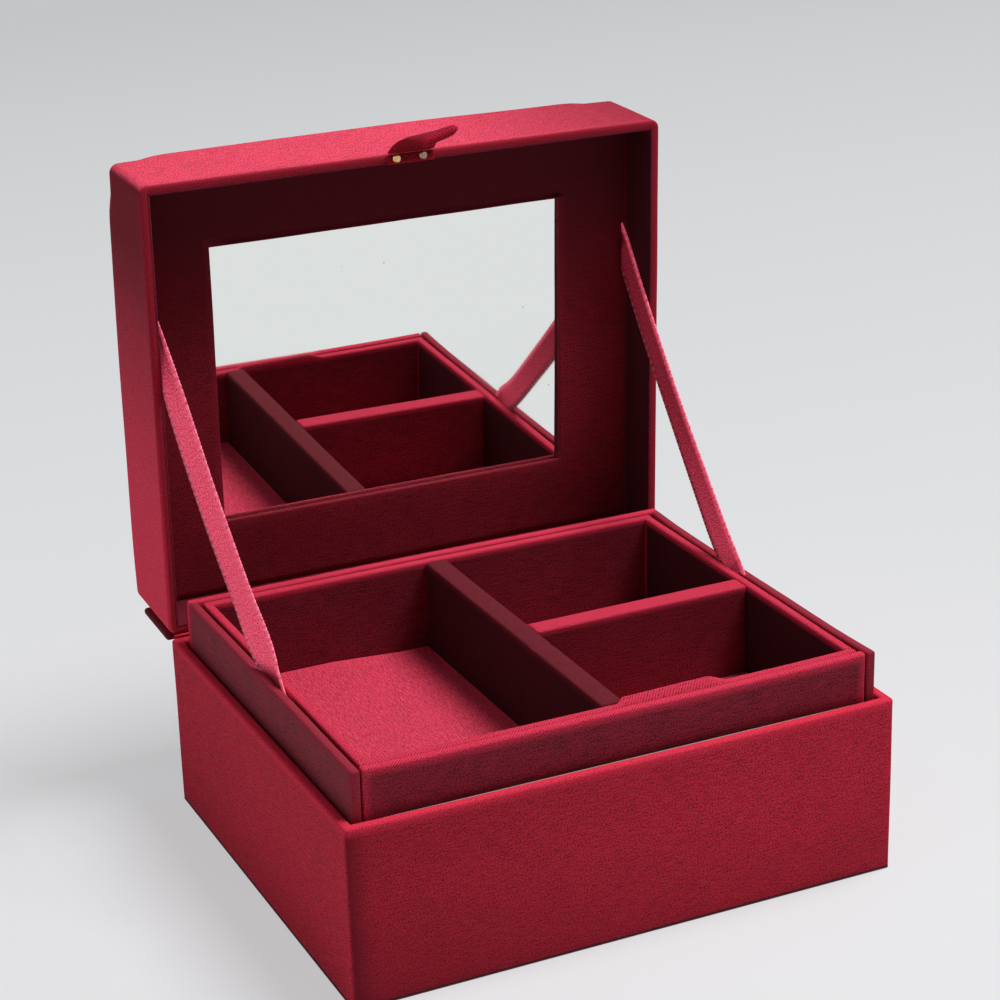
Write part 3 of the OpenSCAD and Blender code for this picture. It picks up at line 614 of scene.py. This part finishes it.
def opened(point):
    """The place of a closed lid's point once the lid is open"""
    y, z = point[1] - hinge_y, point[2] - hinge_z
    return Vector((point[0], hinge_y + y * math.cos(lid_open) + z * math.sin(lid_open),
                   hinge_z - y * math.sin(lid_open) + z * math.cos(lid_open)))


mesh = bmesh.new()
corners = outline(top_w, top_d, top_corner)[0]
lower, upper = ([mesh.verts.new(opened((x, y, z)) * MM) for x, y in corners]
                for z in (top_under, top_over))
mesh.faces.new(lower)
mesh.faces.new(upper)
for k in range(len(corners)):
    mesh.faces.new((lower[k - 1], lower[k], upper[k], upper[k - 1]))
bmesh.ops.recalc_face_normals(mesh, faces=mesh.faces)
bmesh.ops.bevel(mesh, geom=[e for e in mesh.edges if e.calc_face_angle(0) > 1], offset=0.0002,
                segments=1, profile=0.5, affect="EDGES")
top_board = piece_of("lid_top_board_cut", mesh, "lid")
wear(top_board, greyboard, "greyboard", "lid_top_board")


# Lid linings. Four thin cards in a darker copy of the collar's cloth, darker still on faces
# turned left, a painted shade, are glued to the lid's walls from the rim to the mirror frame,
# and show as a narrow band round the mirror once the lid is open.
rim_z, frame_z = 72.3, 95.1
lining_cloth = cloth_finish("lid lining cloth painted shade", flat=(104, 22, 38), deep=(76, 18, 30),
                            bright=(140, 36, 56), rim=(108, 24, 38), patch_size=12.0,
                            patch_share=0.8, shade=(56, 14, 22))
for name, low, high, run_axis in (
        ("lid_lining_front", (-107.3, -89.3, rim_z), (107.3, -88.0, frame_z), 0),
        ("lid_lining_back", (-107.3, 88.0, rim_z), (107.3, 89.3, frame_z), 0),
        ("lid_lining_left", (-107.3, -88.0, rim_z), (-106.0, 88.0, frame_z), 1),
        ("lid_lining_right", (106.0, -88.0, rim_z), (107.3, 88.0, frame_z), 1)):
    covered_board(name + "_card", low, high, run_axis, 2, "lid", lining_cloth,
                  "crimson_lining_cloth", [name], top=0.5, foot=0.55, end=0.3, bow=0.05,
                  turn=opened)


# Mirror frame. A card in cloth with a window cut in it; the cloth is turned through the
# window's edges, and each ribbon passes a slot at its side.
# Its shade colour is a painted shade on faces turned left and towards the frame's top.
frame_cloth = cloth_finish("mirror frame cloth", flat=(134, 30, 44), deep=(104, 24, 36),
                           bright=(166, 42, 58), rim=(196, 52, 76), patch_size=20.0,
                           patch_share=0.8, shade=(84, 20, 30))
frame_w, frame_h, window_w, window_h, glass_z = 107.1, 89.1, 75.9, 57.6, 97.1
window_off, window_up = -0.5, -0.3
slot_x, slot_half, slot_reach = 105.4, 0.7, 10.6
slots = [(-slot_x, -48.0), (slot_x, -33.0)]


def stops_between(values, step):
    """Grid lines through the given places, no further apart than a step"""
    values = sorted(values)
    lines = []
    for a, b in zip(values, values[1:]):
        count = max(1, math.ceil((b - a) / step))
        lines += [a + (b - a) * k / count for k in range(count)]
    return lines + [values[-1]]


xs = stops_between([-frame_w, -slot_x - slot_half, -slot_x + slot_half, window_off - window_w,
                    window_off + window_w, slot_x - slot_half, slot_x + slot_half, frame_w], 4.0)
ys = stops_between([-frame_h, frame_h, window_up - window_h, window_up + window_h]
                   + [y + side * slot_reach for _, y in slots for side in (-1, 1)], 4.0)


def past_window(x, y):
    """How far a place lies outside the window"""
    return max(abs(x - window_off) - window_w, abs(y - window_up) - window_h)


def cut_out(x, y):
    """Whether a place lies in the window or a ribbon slot"""
    return past_window(x, y) < 0 or any(
        abs(x - sx) < slot_half and abs(y - sy) < slot_reach for sx, sy in slots)


mesh, uv, worn_and_lit, shade_layer = cloth_mesh()
grid = {}
for layer, z in enumerate((frame_z, glass_z)):
    for i, x in enumerate(xs):
        for j, y in enumerate(ys):
            grid[layer, i, j] = mesh.verts.new((x, y, z))
for i in range(len(xs) - 1):
    for j in range(len(ys) - 1):
        if cut_out((xs[i] + xs[i + 1]) / 2, (ys[j] + ys[j + 1]) / 2):
            continue
        for layer in (0, 1):
            mesh.faces.new([grid[layer, a, b] for a, b in
                            ((i, j), (i + 1, j), (i + 1, j + 1), (i, j + 1))])
        for di, dj, a, b in ((-1, 0, (i, j), (i, j + 1)), (1, 0, (i + 1, j), (i + 1, j + 1)),
                             (0, -1, (i, j), (i + 1, j)), (0, 1, (i, j + 1), (i + 1, j + 1))):
            ni, nj = i + di, j + dj
            inside = 0 <= ni < len(xs) - 1 and 0 <= nj < len(ys) - 1
            if inside and not cut_out((xs[ni] + xs[ni + 1]) / 2, (ys[nj] + ys[nj + 1]) / 2):
                continue
            mesh.faces.new([grid[0, *a], grid[0, *b], grid[1, *b], grid[1, *a]])
bmesh.ops.delete(mesh, geom=[v for v in mesh.verts if not v.link_faces], context="VERTS")
bmesh.ops.recalc_face_normals(mesh, faces=mesh.faces)
window_edges = [
    e for e in mesh.edges
    if all(v.co.z < frame_z + 0.01 and past_window(v.co.x, v.co.y) < 0.1 for v in e.verts)
    and len(e.link_faces) == 2 and e.calc_face_angle(0) > 1]
bmesh.ops.bevel(mesh, geom=window_edges, offset=0.9, segments=4, profile=0.5,
                affect="EDGES", clamp_overlap=True)
for v in mesh.verts:
    beside = abs(past_window(v.co.x, v.co.y))
    v[worn_and_lit] = max(0.0, 1 - beside / 2.0) * (0.25 if v.co.z < 96 else 0.0)
    # Painted shade: the frame is darker towards its top, under the lid's front wall.
    v[shade_layer] = share((10 - v.co.y) / 75)
for f in mesh.faces:
    f.smooth = True
    for loop in f.loops:
        p = loop.vert.co
        loop[uv].uv = (p.x * MM, p.y * MM) if abs(f.normal.z) > 0.4 else (
            (p.y * MM, p.z * MM) if abs(f.normal.x) > 0.7 else (p.x * MM, p.z * MM))
for v in mesh.verts:
    free = min(107.0 - abs(v.co.x), 89.0 - abs(v.co.y)) > 3
    lift = 0.16 if free and v.co.z < 96.5 else 0.0
    v.co = opened(waver(v.co, lift, 26.0)) * MM
mirror_frame = piece_of("mirror_frame_card", mesh, "lid")
wear(mirror_frame, frame_cloth, "crimson_lining_cloth", "mirror_frame")


# Mirror glass. A plain silvered pane, its edges ground, lies behind the frame against the
# backing card, a little out of true. It has some dust and a few specks.
mirror, tree, shader = finish_of("silvered glass", Metallic=1.0, Roughness=0.015)
where = place(tree, "TexCoord").outputs["Object"]
specks = place(tree, "TexVoronoi", {"Vector": where, "Scale": 90.0}).outputs["Distance"]
film = place(tree, "TexNoise", {"Vector": where, "Scale": 22.0, "Detail": 5.0}).outputs["Fac"]
feed(tree, shader.inputs["Roughness"], ramp(tree, film, 0.4, 0.8, 0.012, 0.05))
feed(tree, shader.inputs["Base Color"],
     blend_colour(tree, ramp(tree, specks, 0.05, 0.035), paint(240, 244, 240),
                  paint(200, 206, 206)))
glass_w, glass_h, glass_tilt = 80.3, 61.35, 0.0098
mesh = bmesh.new()
bmesh.ops.create_cube(mesh, size=1.0)
for v in mesh.verts:
    v.co = Vector((v.co.x * 2 * glass_w, v.co.y * 2 * glass_h, glass_z + (v.co.z + 0.5) * 0.8))
bmesh.ops.bevel(mesh, geom=mesh.edges[:], offset=0.2, segments=1, profile=0.5,
                affect="EDGES", clamp_overlap=True)
for v in mesh.verts:
    v.co = opened(v.co + Vector((0, 0, (v.co.y + glass_h) * glass_tilt))) * MM
mirror_pane = piece_of("mirror_glass_pane", mesh, "lid")
wear(mirror_pane, mirror, "mirror_glass", "mirror_glass")


# Lid pad and cover. Thin foam on the top board gives the lid its low crown, and one cloth is
# pulled over it, down the walls and in under the rim.
lid_w, lid_d, lid_r, pad_z = 110.0, 92.0, 3.5, 113.3
edge_h, edge_w, crown = 4.0, 6.0, 4.0
corner_reach, corner_pull, front_bow, side_bow = 22.0, 3.2, 1.1, 0.7
hem_r, hem_points, foam_in = 1.2, 5, 0.7


def pad_rise(i):
    """Height of the crown above the top board, an inset i from the lid's side"""
    rounded = edge_h * math.sqrt(max(0.0, 1 - (1 - min(i / edge_w, 1)) ** 2))
    return rounded + crown * (1 - (1 - i / lid_d) ** 2)


def lid_row(depth, z, wobble):
    """One ring of the lid at an inset and a height, drawn closed, then opened"""
    a, b = lid_w - depth, lid_d - depth
    radius, round_front = max(lid_r - depth, 0.05), 0.0
    if depth == 0 or z > pad_z - 1:
        round_front = share((z - 110.3) / 3.0)
        radius = min(lid_r + 0.25 * depth, b)
    row = []
    for x, y in lid_ring:
        fx = max(abs(x) - (lid_w - lid_r), 0) / lid_r
        fy = max(abs(y) - (lid_d - lid_r), 0) / lid_r
        if fx > 0 or fy > 0:
            px = (math.copysign(a - radius + radius * fx, x) if fx
                  else x * (a - radius) / (lid_w - lid_r))
            py = (math.copysign(b - radius + radius * fy, y) if fy
                  else y * (b - radius) / (lid_d - lid_r))
        near_corner = (max(0.0, abs(px) - a + corner_reach) / corner_reach
                       * max(0.0, -py - b + corner_reach) / corner_reach)
        pull = corner_pull * round_front * near_corner ** 1.5
        px -= math.copysign(pull, px)
        py += pull
        full_out = share((z - 80) / 30) * max(0.0, 1 - depth / 12) * (wobble > 0)
        py -= front_bow * full_out * (1 - (x / lid_w) ** 2) * (y < 3 - lid_d)
        px += math.copysign(side_bow * full_out * (1 - (y / lid_d) ** 2), x) * (
            abs(x) > lid_w - 3)
        row.append(opened(waver((px, py, z), wobble, 38.0)))
    return row


lid_ring, lid_lengths = outline(lid_w, lid_d, lid_r, step=4.0, turns=8)
insets = [lid_d * (k / 24) ** 2.0 for k in range(1, 25)]
cover = [(3.9, rim_z + 0.45), (2.7, rim_z), (1.4, rim_z)]
cover += [(hem_r - hem_r * math.sin(a), rim_z + hem_r - hem_r * math.cos(a))
          for a in arc(20, 90, 4)]
cover += [(0.0, rim_z + hem_r + (pad_z - rim_z - hem_r) * k / 12) for k in range(1, 12)]
sides = len(cover)
cover += [(i, pad_z + pad_rise(i)) for i in [0.0] + insets]
rows = [lid_row(d, z, 0.0 if d > 0.1 and z < 80 else 0.22) for d, z in cover]
under = [(min(d + cloth_t, lid_d), z - (cloth_t if k >= sides else 0))
         for k, (d, z) in enumerate(cover) if k >= hem_points]
rows = [lid_row(d, z, 0.22) for d, z in reversed(under)] + rows
full = list(reversed(under)) + cover
heights = distances(full)
first_top = len(under) + sides


def lid_flat(i, j):
    """The cloth lies flat on the lid's top and is stretched down its walls"""
    if i > first_top or i < len(under) - sides + hem_points:
        point = rows[i][j % len(lid_ring)]
        return (point[0], -point[2])
    return (lid_lengths[j], heights[i])


def lid_wear_and_light(i, j):
    """The left side is painted lighter towards the back, low on the open lid: a painted light.
    The rim takes a little of the rim colour, partly wear and partly a painted highlight
    """
    d, z = full[i]
    if i < len(under):
        return 0.0
    x, y = lid_ring[j % len(lid_ring)]
    lit_side = 0.9 * share((y + 50) / 130) if x < 2 - lid_w and d < 1 else 0.0
    return max(lit_side, 0.25 * max(0.0, 1 - abs(z - rim_z) / 2.5))


def lid_laid(point):
    """Painted shade: the cloth is darker on the rim, on the left side near the front, and on the
    right of the front wall"""
    y, z = point[1] - hinge_y, point[2] - hinge_z
    depth = y * math.sin(lid_open) + z * math.cos(lid_open) + hinge_z - rim_z
    rim = 1.0 - share(depth - 0.3)
    side = share((-point[0] - 109.2) / 0.7) * share((z - 50) / 110)
    front = share((z - 182) / 2) * share((point[0] - 20) / 120)
    return max(rim, side, front)


# The lid's copy of the cover cloth is painted lighter than the case's: a painted light. Its shade colour is
# a painted shade on faces turned down and where laid marks the lid.
lid_cloth = cloth_finish("lid cover cloth painted light", flat=(212, 38, 64), deep=(176, 28, 48),
                         bright=(255, 96, 126), rim=(255, 60, 92), patch_size=16.0,
                         slub_length=5.0, away=(0.0, 0.0, -1.0), shade=(112, 16, 28))
lid_cover = skin("lid_cover_cloth", rows, lid_flat, lid_wear_and_light, "lid", caps=False,
                 laid=lid_laid)
wear(lid_cover, lid_cloth, "crimson_cover_cloth", "lid_top_cloth", "lid_side_cloth")

foam = flecked("pad foam", (196, 190, 176), (228, 222, 206), "TexVoronoi", {"Scale": 1500.0},
               Roughness=0.9)[0]
pad_stack = [(i + foam_in, pad_z + pad_rise(i) - 0.8)
             for i in (0.6, 1.5, 3.0, 5.0, 9.0, 16.0, 28.0, 45.0, 70.0, 91.0)]
mesh_rows = [lid_row(min(d, lid_d), z, 0.0)
             for d, z in [(lid_d, pad_z + 0.02), (1.0, pad_z + 0.02)] + pad_stack]
foam_pad = skin("lid_foam_pad", mesh_rows, lambda i, j: (0.0, 0.0), lambda i, j: 0.0, "lid",
                caps=False)
wear(foam_pad, foam, "foam_pad", "lid_padding")


# Hinge leaf. A stiff strip in cloth, glued along the back of the lid; it wears the linings' darker cloth, a
# painted shade.
# Its rounded left end was cut long and looks out beside the lower corner of the open lid.
covered_board("hinge_leaf_strip", (-110.8, 92.02, 74.1), (106.5, 95.0, 103.8), 0, 2, "lid",
              lining_cloth, "crimson_cover_cloth", ["hinge_leaf"], top=1.4, foot=1.2, end=1.2,
              bow=0.08, turn=opened)


# Stay ribbons. Two velvet ribbons with looped edges, each glued inside the collar at its low
# end and behind the mirror frame at its high end. They stop the lid and hang a little slack.
# Where a ribbon turns up it is painted lighter and glows a little: a painted light.
velvet, tree, shader = finish_of(
    "velvet ribbon", Roughness=0.75, Specular_IOR_Level=0.2, Sheen_Weight=0.3,
    Sheen_Roughness=0.35, Sheen_Tint=paint(255, 60, 100), Emission_Strength=0.42)
flat = in_millimetres(tree, place(tree, "UVMap", uv_map="cloth").outputs[0])
pile = place(tree, "TexNoise", {"Vector": flat, "Scale": 1.5, "Detail": 2.0,
                                "Roughness": 0.7}).outputs["Fac"]
tuft = ramp(tree, pile, 0.42, 0.58)
dark = blend_colour(tree, tuft, paint(112, 8, 28), paint(196, 40, 68))
bright = blend_colour(tree, tuft, paint(204, 12, 44), paint(255, 112, 146))
# Painted light: faces that turn up take the lighter colours and glow in them.
facing = place(tree, "TexCoord").outputs["Normal"]
rise = ramp(tree, place(tree, "SeparateXYZ", {0: facing}).outputs[2], 0.0, 0.16)
ground = blend_colour(tree, rise, dark, bright)
feed(tree, shader.inputs["Base Color"],
     blend_colour(tree, stored(tree, "edge"), ground, paint(255, 168, 190)))
emboss(tree, shader, Height=pile, Strength=0.5, Distance=0.0005)
feed(tree, shader.inputs["Emission Color"], blend_colour(tree, rise, paint(0, 0, 0), bright))

ribbon_w, ribbon_t, tail_low, tail_high = 14.0, 0.8, 22.0, 12.5
ribbon_nodes = (0.0, 0.1, 0.25, 0.5, 0.75, 1.0)


def between(places, values, t):
    """A smooth curve through values at places, by the slopes of their neighbours"""
    last = len(places) - 1
    slopes = [(values[min(k + 1, last)] - values[max(k - 1, 0)])
              / (places[min(k + 1, last)] - places[max(k - 1, 0)]) for k in range(last + 1)]
    k = max(i for i in range(last) if places[i] <= t or i == 0)
    width = places[k + 1] - places[k]
    f = (t - places[k]) / width
    return ((1 + 2 * f) * (1 - f) ** 2 * values[k] + f * (1 - f) ** 2 * width * slopes[k]
            + f * f * (3 - 2 * f) * values[k + 1] + f * f * (f - 1) * width * slopes[k + 1])


for side, name, low_y, high_u, turns, drops in (
        (-1, "left", -5.0, 140.0, (-2.3, 17.0, 15.0, 16.5, 14.4, -8.0),
         (0.0, 4.2, 7.2, 9.5, 7.0, 0.0)),
        (1, "right", 12.0, 125.0, (-3.7, -5.7, -4.0, -0.5, 0.1, 0.0),
         (0.0, 2.8, 3.8, 4.5, 3.5, 0.0))):
    low = Vector((side * 100.8, low_y, collar_top))
    high = opened((side * slot_x, hinge_y - high_u, frame_z))
    heading = Vector((0, high.y - low.y, high.z - low.z)).normalized()
    across = Vector((0, heading.z, -heading.y))
    span = (high - low).length
    whole = span + tail_low + tail_high
    count = round(whole / 0.8)
    rows, stops = [], []
    for k in range(count + 1):
        s = -tail_low + whole * k / count
        t = share(s / span)
        if s < 0:
            middle = low + heading * s
        elif s > span:
            middle = high + heading * (s - span)
        else:
            middle = low.lerp(high, t) - Vector((0, 0, between(ribbon_nodes, drops, t)))
        angle = math.radians(between(ribbon_nodes, turns, t))
        wide = Vector((side * math.sin(angle), 0, 0)) + across * math.cos(angle)
        thick = Vector((math.cos(angle), 0, 0)) - across * side * math.sin(angle)
        half = ribbon_w / 2 + (0.22 if k % 2 else -0.12)
        row = [(f * half, -ribbon_t / 2 * (0.45 if abs(f) > 0.95 else 1.0))
               for f in (-1.0, -0.93, -0.6, -0.2, 0.2, 0.6, 0.93, 1.0)]
        row += [(w, -h) for w, h in reversed(row)]
        rows.append([middle + wide * w + thick * h for w, h in row])
        stops.append(s)
    spread = [w for w, _ in row]

    def looped(i, j):
        near = abs(spread[j % len(spread)]) > ribbon_w / 2 * 0.9
        return (0.5 if i % 4 < 2 else 0.1) if near else 0.0

    piece = skin("stay_ribbon_" + name + "_velvet", rows,
                 lambda i, j: (spread[j % len(spread)], stops[i]), looped, "base")
    piece.parent = None
    wear(piece, velvet, "velvet_ribbon", "stay_ribbon_" + name,
         "ribbon_" + name + "_low_end", "ribbon_" + name + "_high_end")
    start = low - (high - low) * 0.1
    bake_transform(piece, "base", "lid", start=tuple(start * MM), end=tuple(high * MM))


# Tab tape. A doubled strip of the pull tab's cloth lies flat under the front rim of the lid,
# held by the tacks. The tab hangs from its front edge.
tab_cloth = cloth_finish("tab cloth", flat=(112, 4, 22), deep=(84, 4, 16),
                         bright=(140, 12, 34), rim=(176, 22, 48), patch_size=10.0,
                         slub_length=3.0)
covered_board("tab_tape_strip", (-9.8, -92.0, 71.5), (9.8, -88.0, 72.3), 0, 1, "lid",
              tab_cloth, "tab_cloth", ["tab_tape"], top=0.35, foot=0.35, end=0.3, step=1.0,
              bow=0.03, turn=opened)


# Tacks. Two small domed brass tacks, pressed cold, go through the tape into the lid's front
# board. The right one has lost its shine.
tape_t, head_h, head_y = 0.8, 0.7, -90.2
head_z = rim_z - tape_t - head_h
lathe = [(0.02, 0.16), (0.35, 0.14), (0.6, 0.05), (0.85, 0.0), (1.15, 0.04), (1.45, 0.18),
         (1.66, 0.38), (1.75, 0.56), (1.72, 0.68), (1.5, 0.7), (0.42, 0.7), (0.4, 0.9),
         (0.4, 7.6), (0.2, 8.3), (0.02, 8.7)]
circle = [2 * math.pi * k / 24 for k in range(24)]
for name, middle, dark, bright, stands_for in (
        ("left", -6.2, (176, 120, 62), (246, 214, 150), ["tab_tacks"]),
        ("right", 5.0, (104, 70, 62), (190, 156, 140), [])):
    brass, tree, shader, tarnish = flecked(
        "brass tack " + name, dark, bright, "TexNoise", {"Scale": 700.0, "Detail": 3.0},
        Metallic=1.0, Roughness=0.3)
    feed(tree, shader.inputs["Roughness"], ramp(tree, tarnish, 0.0, 1.0, 0.2, 0.42))
    rows = [[opened((middle + radius * math.cos(a), head_y + radius * math.sin(a),
                     head_z + rise)) for a in circle] for radius, rise in lathe]
    tack = skin("tab_tack_" + name, rows, lambda i, j: (j * 0.4, lathe[i][1]),
                lambda i, j: 0.0, "lid")
    wear(tack, brass, "brass_tacks", *stands_for)


# Pull tab. A strip of cloth folded double over a core, thicker at its end, hangs from the
# front rim; it has taken a slight curve from use.
tab_w, tab_end_w, root_t, end_t = 19.6, 15.6, 1.4, 4.2
tab_out, tab_drop, tab_bend, tab_twist = 11.5, 27.0, math.radians(21), 2.2
axis_y, axis_z = -92.9, 71.6
chord = math.hypot(tab_out, tab_drop)
slope = math.atan2(tab_out, tab_drop)
bend_r = chord / (2 * math.sin(tab_bend))


def tab_middle(t):
    """How far out and down the tab's middle is, and its slope, at a share of its length"""
    a0, a = slope + tab_bend, slope + tab_bend * (1 - 2 * t)
    return bend_r * (math.cos(a) - math.cos(a0)), bend_r * (math.sin(a0) - math.sin(a)), a


rows, stops = [], []
count = 36
for k in range(-4, count + 5):
    t = share(k / count)
    out, down, a = tab_middle(t)
    along = Vector((0, -math.sin(a), -math.cos(a)))
    normal = Vector((0, -math.cos(a), math.sin(a)))
    half_t = (root_t + 0.5 * t + (end_t - root_t - 0.5) * max(0.0, t * 4 - 3)) / 2
    half_w = (tab_w + (tab_end_w - tab_w) * t) / 2
    shrink, push = 1.0, 0.0
    if k < 0 or k > count:
        f = math.radians(90 * (abs(k) if k < 0 else k - count) / 4.4)
        shrink, push = math.cos(f), math.sin(f) * half_t * (-1 if k < 0 else 1)
    centre = Vector((0, axis_y - out, axis_z - down)) + along * push
    row = []
    for j in range(9):
        w = -1 + 2 * j / 8
        rounded = math.sqrt(max(0.0, 1 - abs(w) ** 6)) * 0.75 + 0.25
        row.append((w * (half_w - (1 - shrink) * half_t), -half_t * shrink * rounded))
    row += [(w, -h) for w, h in reversed(row)]
    rows.append([opened(waver(centre + Vector((w, -tab_twist * t * t * w / half_w, 0))
                              + normal * h, 0.05 * t, 9.0)) for w, h in row])
    stops.append(chord * t + push)
spread = [w for w, _ in row]
pull_tab = skin("pull_tab_cloth", rows, lambda i, j: (spread[j % len(spread)], stops[i]),
                lambda i, j: 0.8 if j % 9 in (0, 8) or i > len(rows) - 6 else 0.1, "tab")
wear(pull_tab, tab_cloth, "tab_cloth", "pull_tab")


# Table, light and camera. A pale floor under one broad soft lamp, with a weak panel overhead
# and a low fill from the left. The camera stands where the photograph was taken from.
table_half, table_z = 6.0, -0.0002
mesh = bmesh.new()
bmesh.ops.create_grid(mesh, x_segments=8, y_segments=8, size=table_half,
                      matrix=Matrix.Translation((0, 0, table_z)))
floor = piece_of("table_top", mesh)
surface, tree, shader = finish_of("table top", Roughness=0.7, Specular_IOR_Level=0.2)
where = place(tree, "TexCoord").outputs["Object"]
cloud = place(tree, "TexNoise", {"Vector": where, "Scale": 3.0, "Detail": 4.0}).outputs["Fac"]
pale = blend_colour(tree, cloud, paint(226, 227, 229), paint(233, 234, 236))
depth = place(tree, "SeparateXYZ", {0: where}).outputs[1]
fall = place(tree, "ValToRGB", {0: ramp(tree, depth, -0.3, 1.9)})
fall.color_ramp.elements[0].color = paint(233, 233, 235)
fall.color_ramp.elements[1].color = paint(196, 197, 199)
fall.color_ramp.elements.new(0.36).color = paint(219, 220, 222)
far_glow = place(tree, "Emission", {"Color": fall.outputs[0], "Strength": 1.0})


def seen_plainly(tree):
    """Where the camera looks straight at a thing, or sees it in a mirror"""
    path = place(tree, "LightPath").outputs
    return reckon(tree, "MAXIMUM", path["Is Camera Ray"], path["Is Glossy Ray"])


seen = seen_plainly(tree)
feed(tree, shader.inputs["Base Color"], blend_colour(tree, seen, paint(225, 222, 224), pale))
away = place(tree, "VectorMath", {0: where}, operation="LENGTH").outputs["Value"]
away = ramp(tree, away, 0.14, 0.42, 0.62, interpolation_type="SMOOTHSTEP")
mixed = place(tree, "MixShader", {0: reckon(tree, "MULTIPLY", seen, away), 1: shader.outputs[0],
                                  2: far_glow.outputs[0]})
feed(tree, tree.nodes["Material Output"].inputs["Surface"], mixed.outputs[0])
floor.data.materials.append(surface)

scene = bpy.context.scene
aim = Vector((0.0, 0.0, 0.1))
for name, at, size, power in (("overhead lamp", (0.78, -0.25, 1.95), 1.0, 43.0),
                              ("overhead panel", (0.0, 0.1, 2.1), 1.8, 2.5),
                              ("side fill", (-1.5, -0.2, 0.8), 1.0, 3.4)):
    data = bpy.data.lights.new(name, "AREA")
    data.shape = "DISK"
    data.size = size
    data.energy = power
    lamp = bpy.data.objects.new(name, data)
    lamp.location = at
    lamp.rotation_euler = (aim - Vector(at)).to_track_quat("-Z", "Y").to_euler()
    scene.collection.objects.link(lamp)

world = bpy.data.worlds.new("studio")
scene.world = world
world.use_nodes = True
tree = world.node_tree
back = tree.nodes["Background"]
feed(tree, back.inputs["Strength"], ramp(tree, seen_plainly(tree), 0.0, 1.0, 0.04, 0.92))
back.inputs["Color"].default_value = (1, 1, 1, 1)

yaw, pitch, roll_angle = 0.431, 0.358, -0.029
eye = (-0.38275, -0.8186, 0.47758)
forward = Vector((math.sin(yaw) * math.cos(pitch), math.cos(yaw) * math.cos(pitch),
                  -math.sin(pitch)))
level_right = Vector((math.cos(yaw), -math.sin(yaw), 0))
level_up = level_right.cross(forward)
right = level_right * math.cos(roll_angle) + level_up * math.sin(roll_angle)
up = level_up * math.cos(roll_angle) - level_right * math.sin(roll_angle)
lens = bpy.data.cameras.new("photo camera")
lens.lens, lens.sensor_width, lens.clip_start = 92.55, 36.0, 0.01
camera = bpy.data.objects.new("photo camera", lens)
camera.matrix_world = (Matrix.Translation(eye)
                       @ Matrix((right, up, -forward)).transposed().to_4x4())
scene.collection.objects.link(camera)
scene.camera = camera
scene.view_settings.view_transform = "Standard"
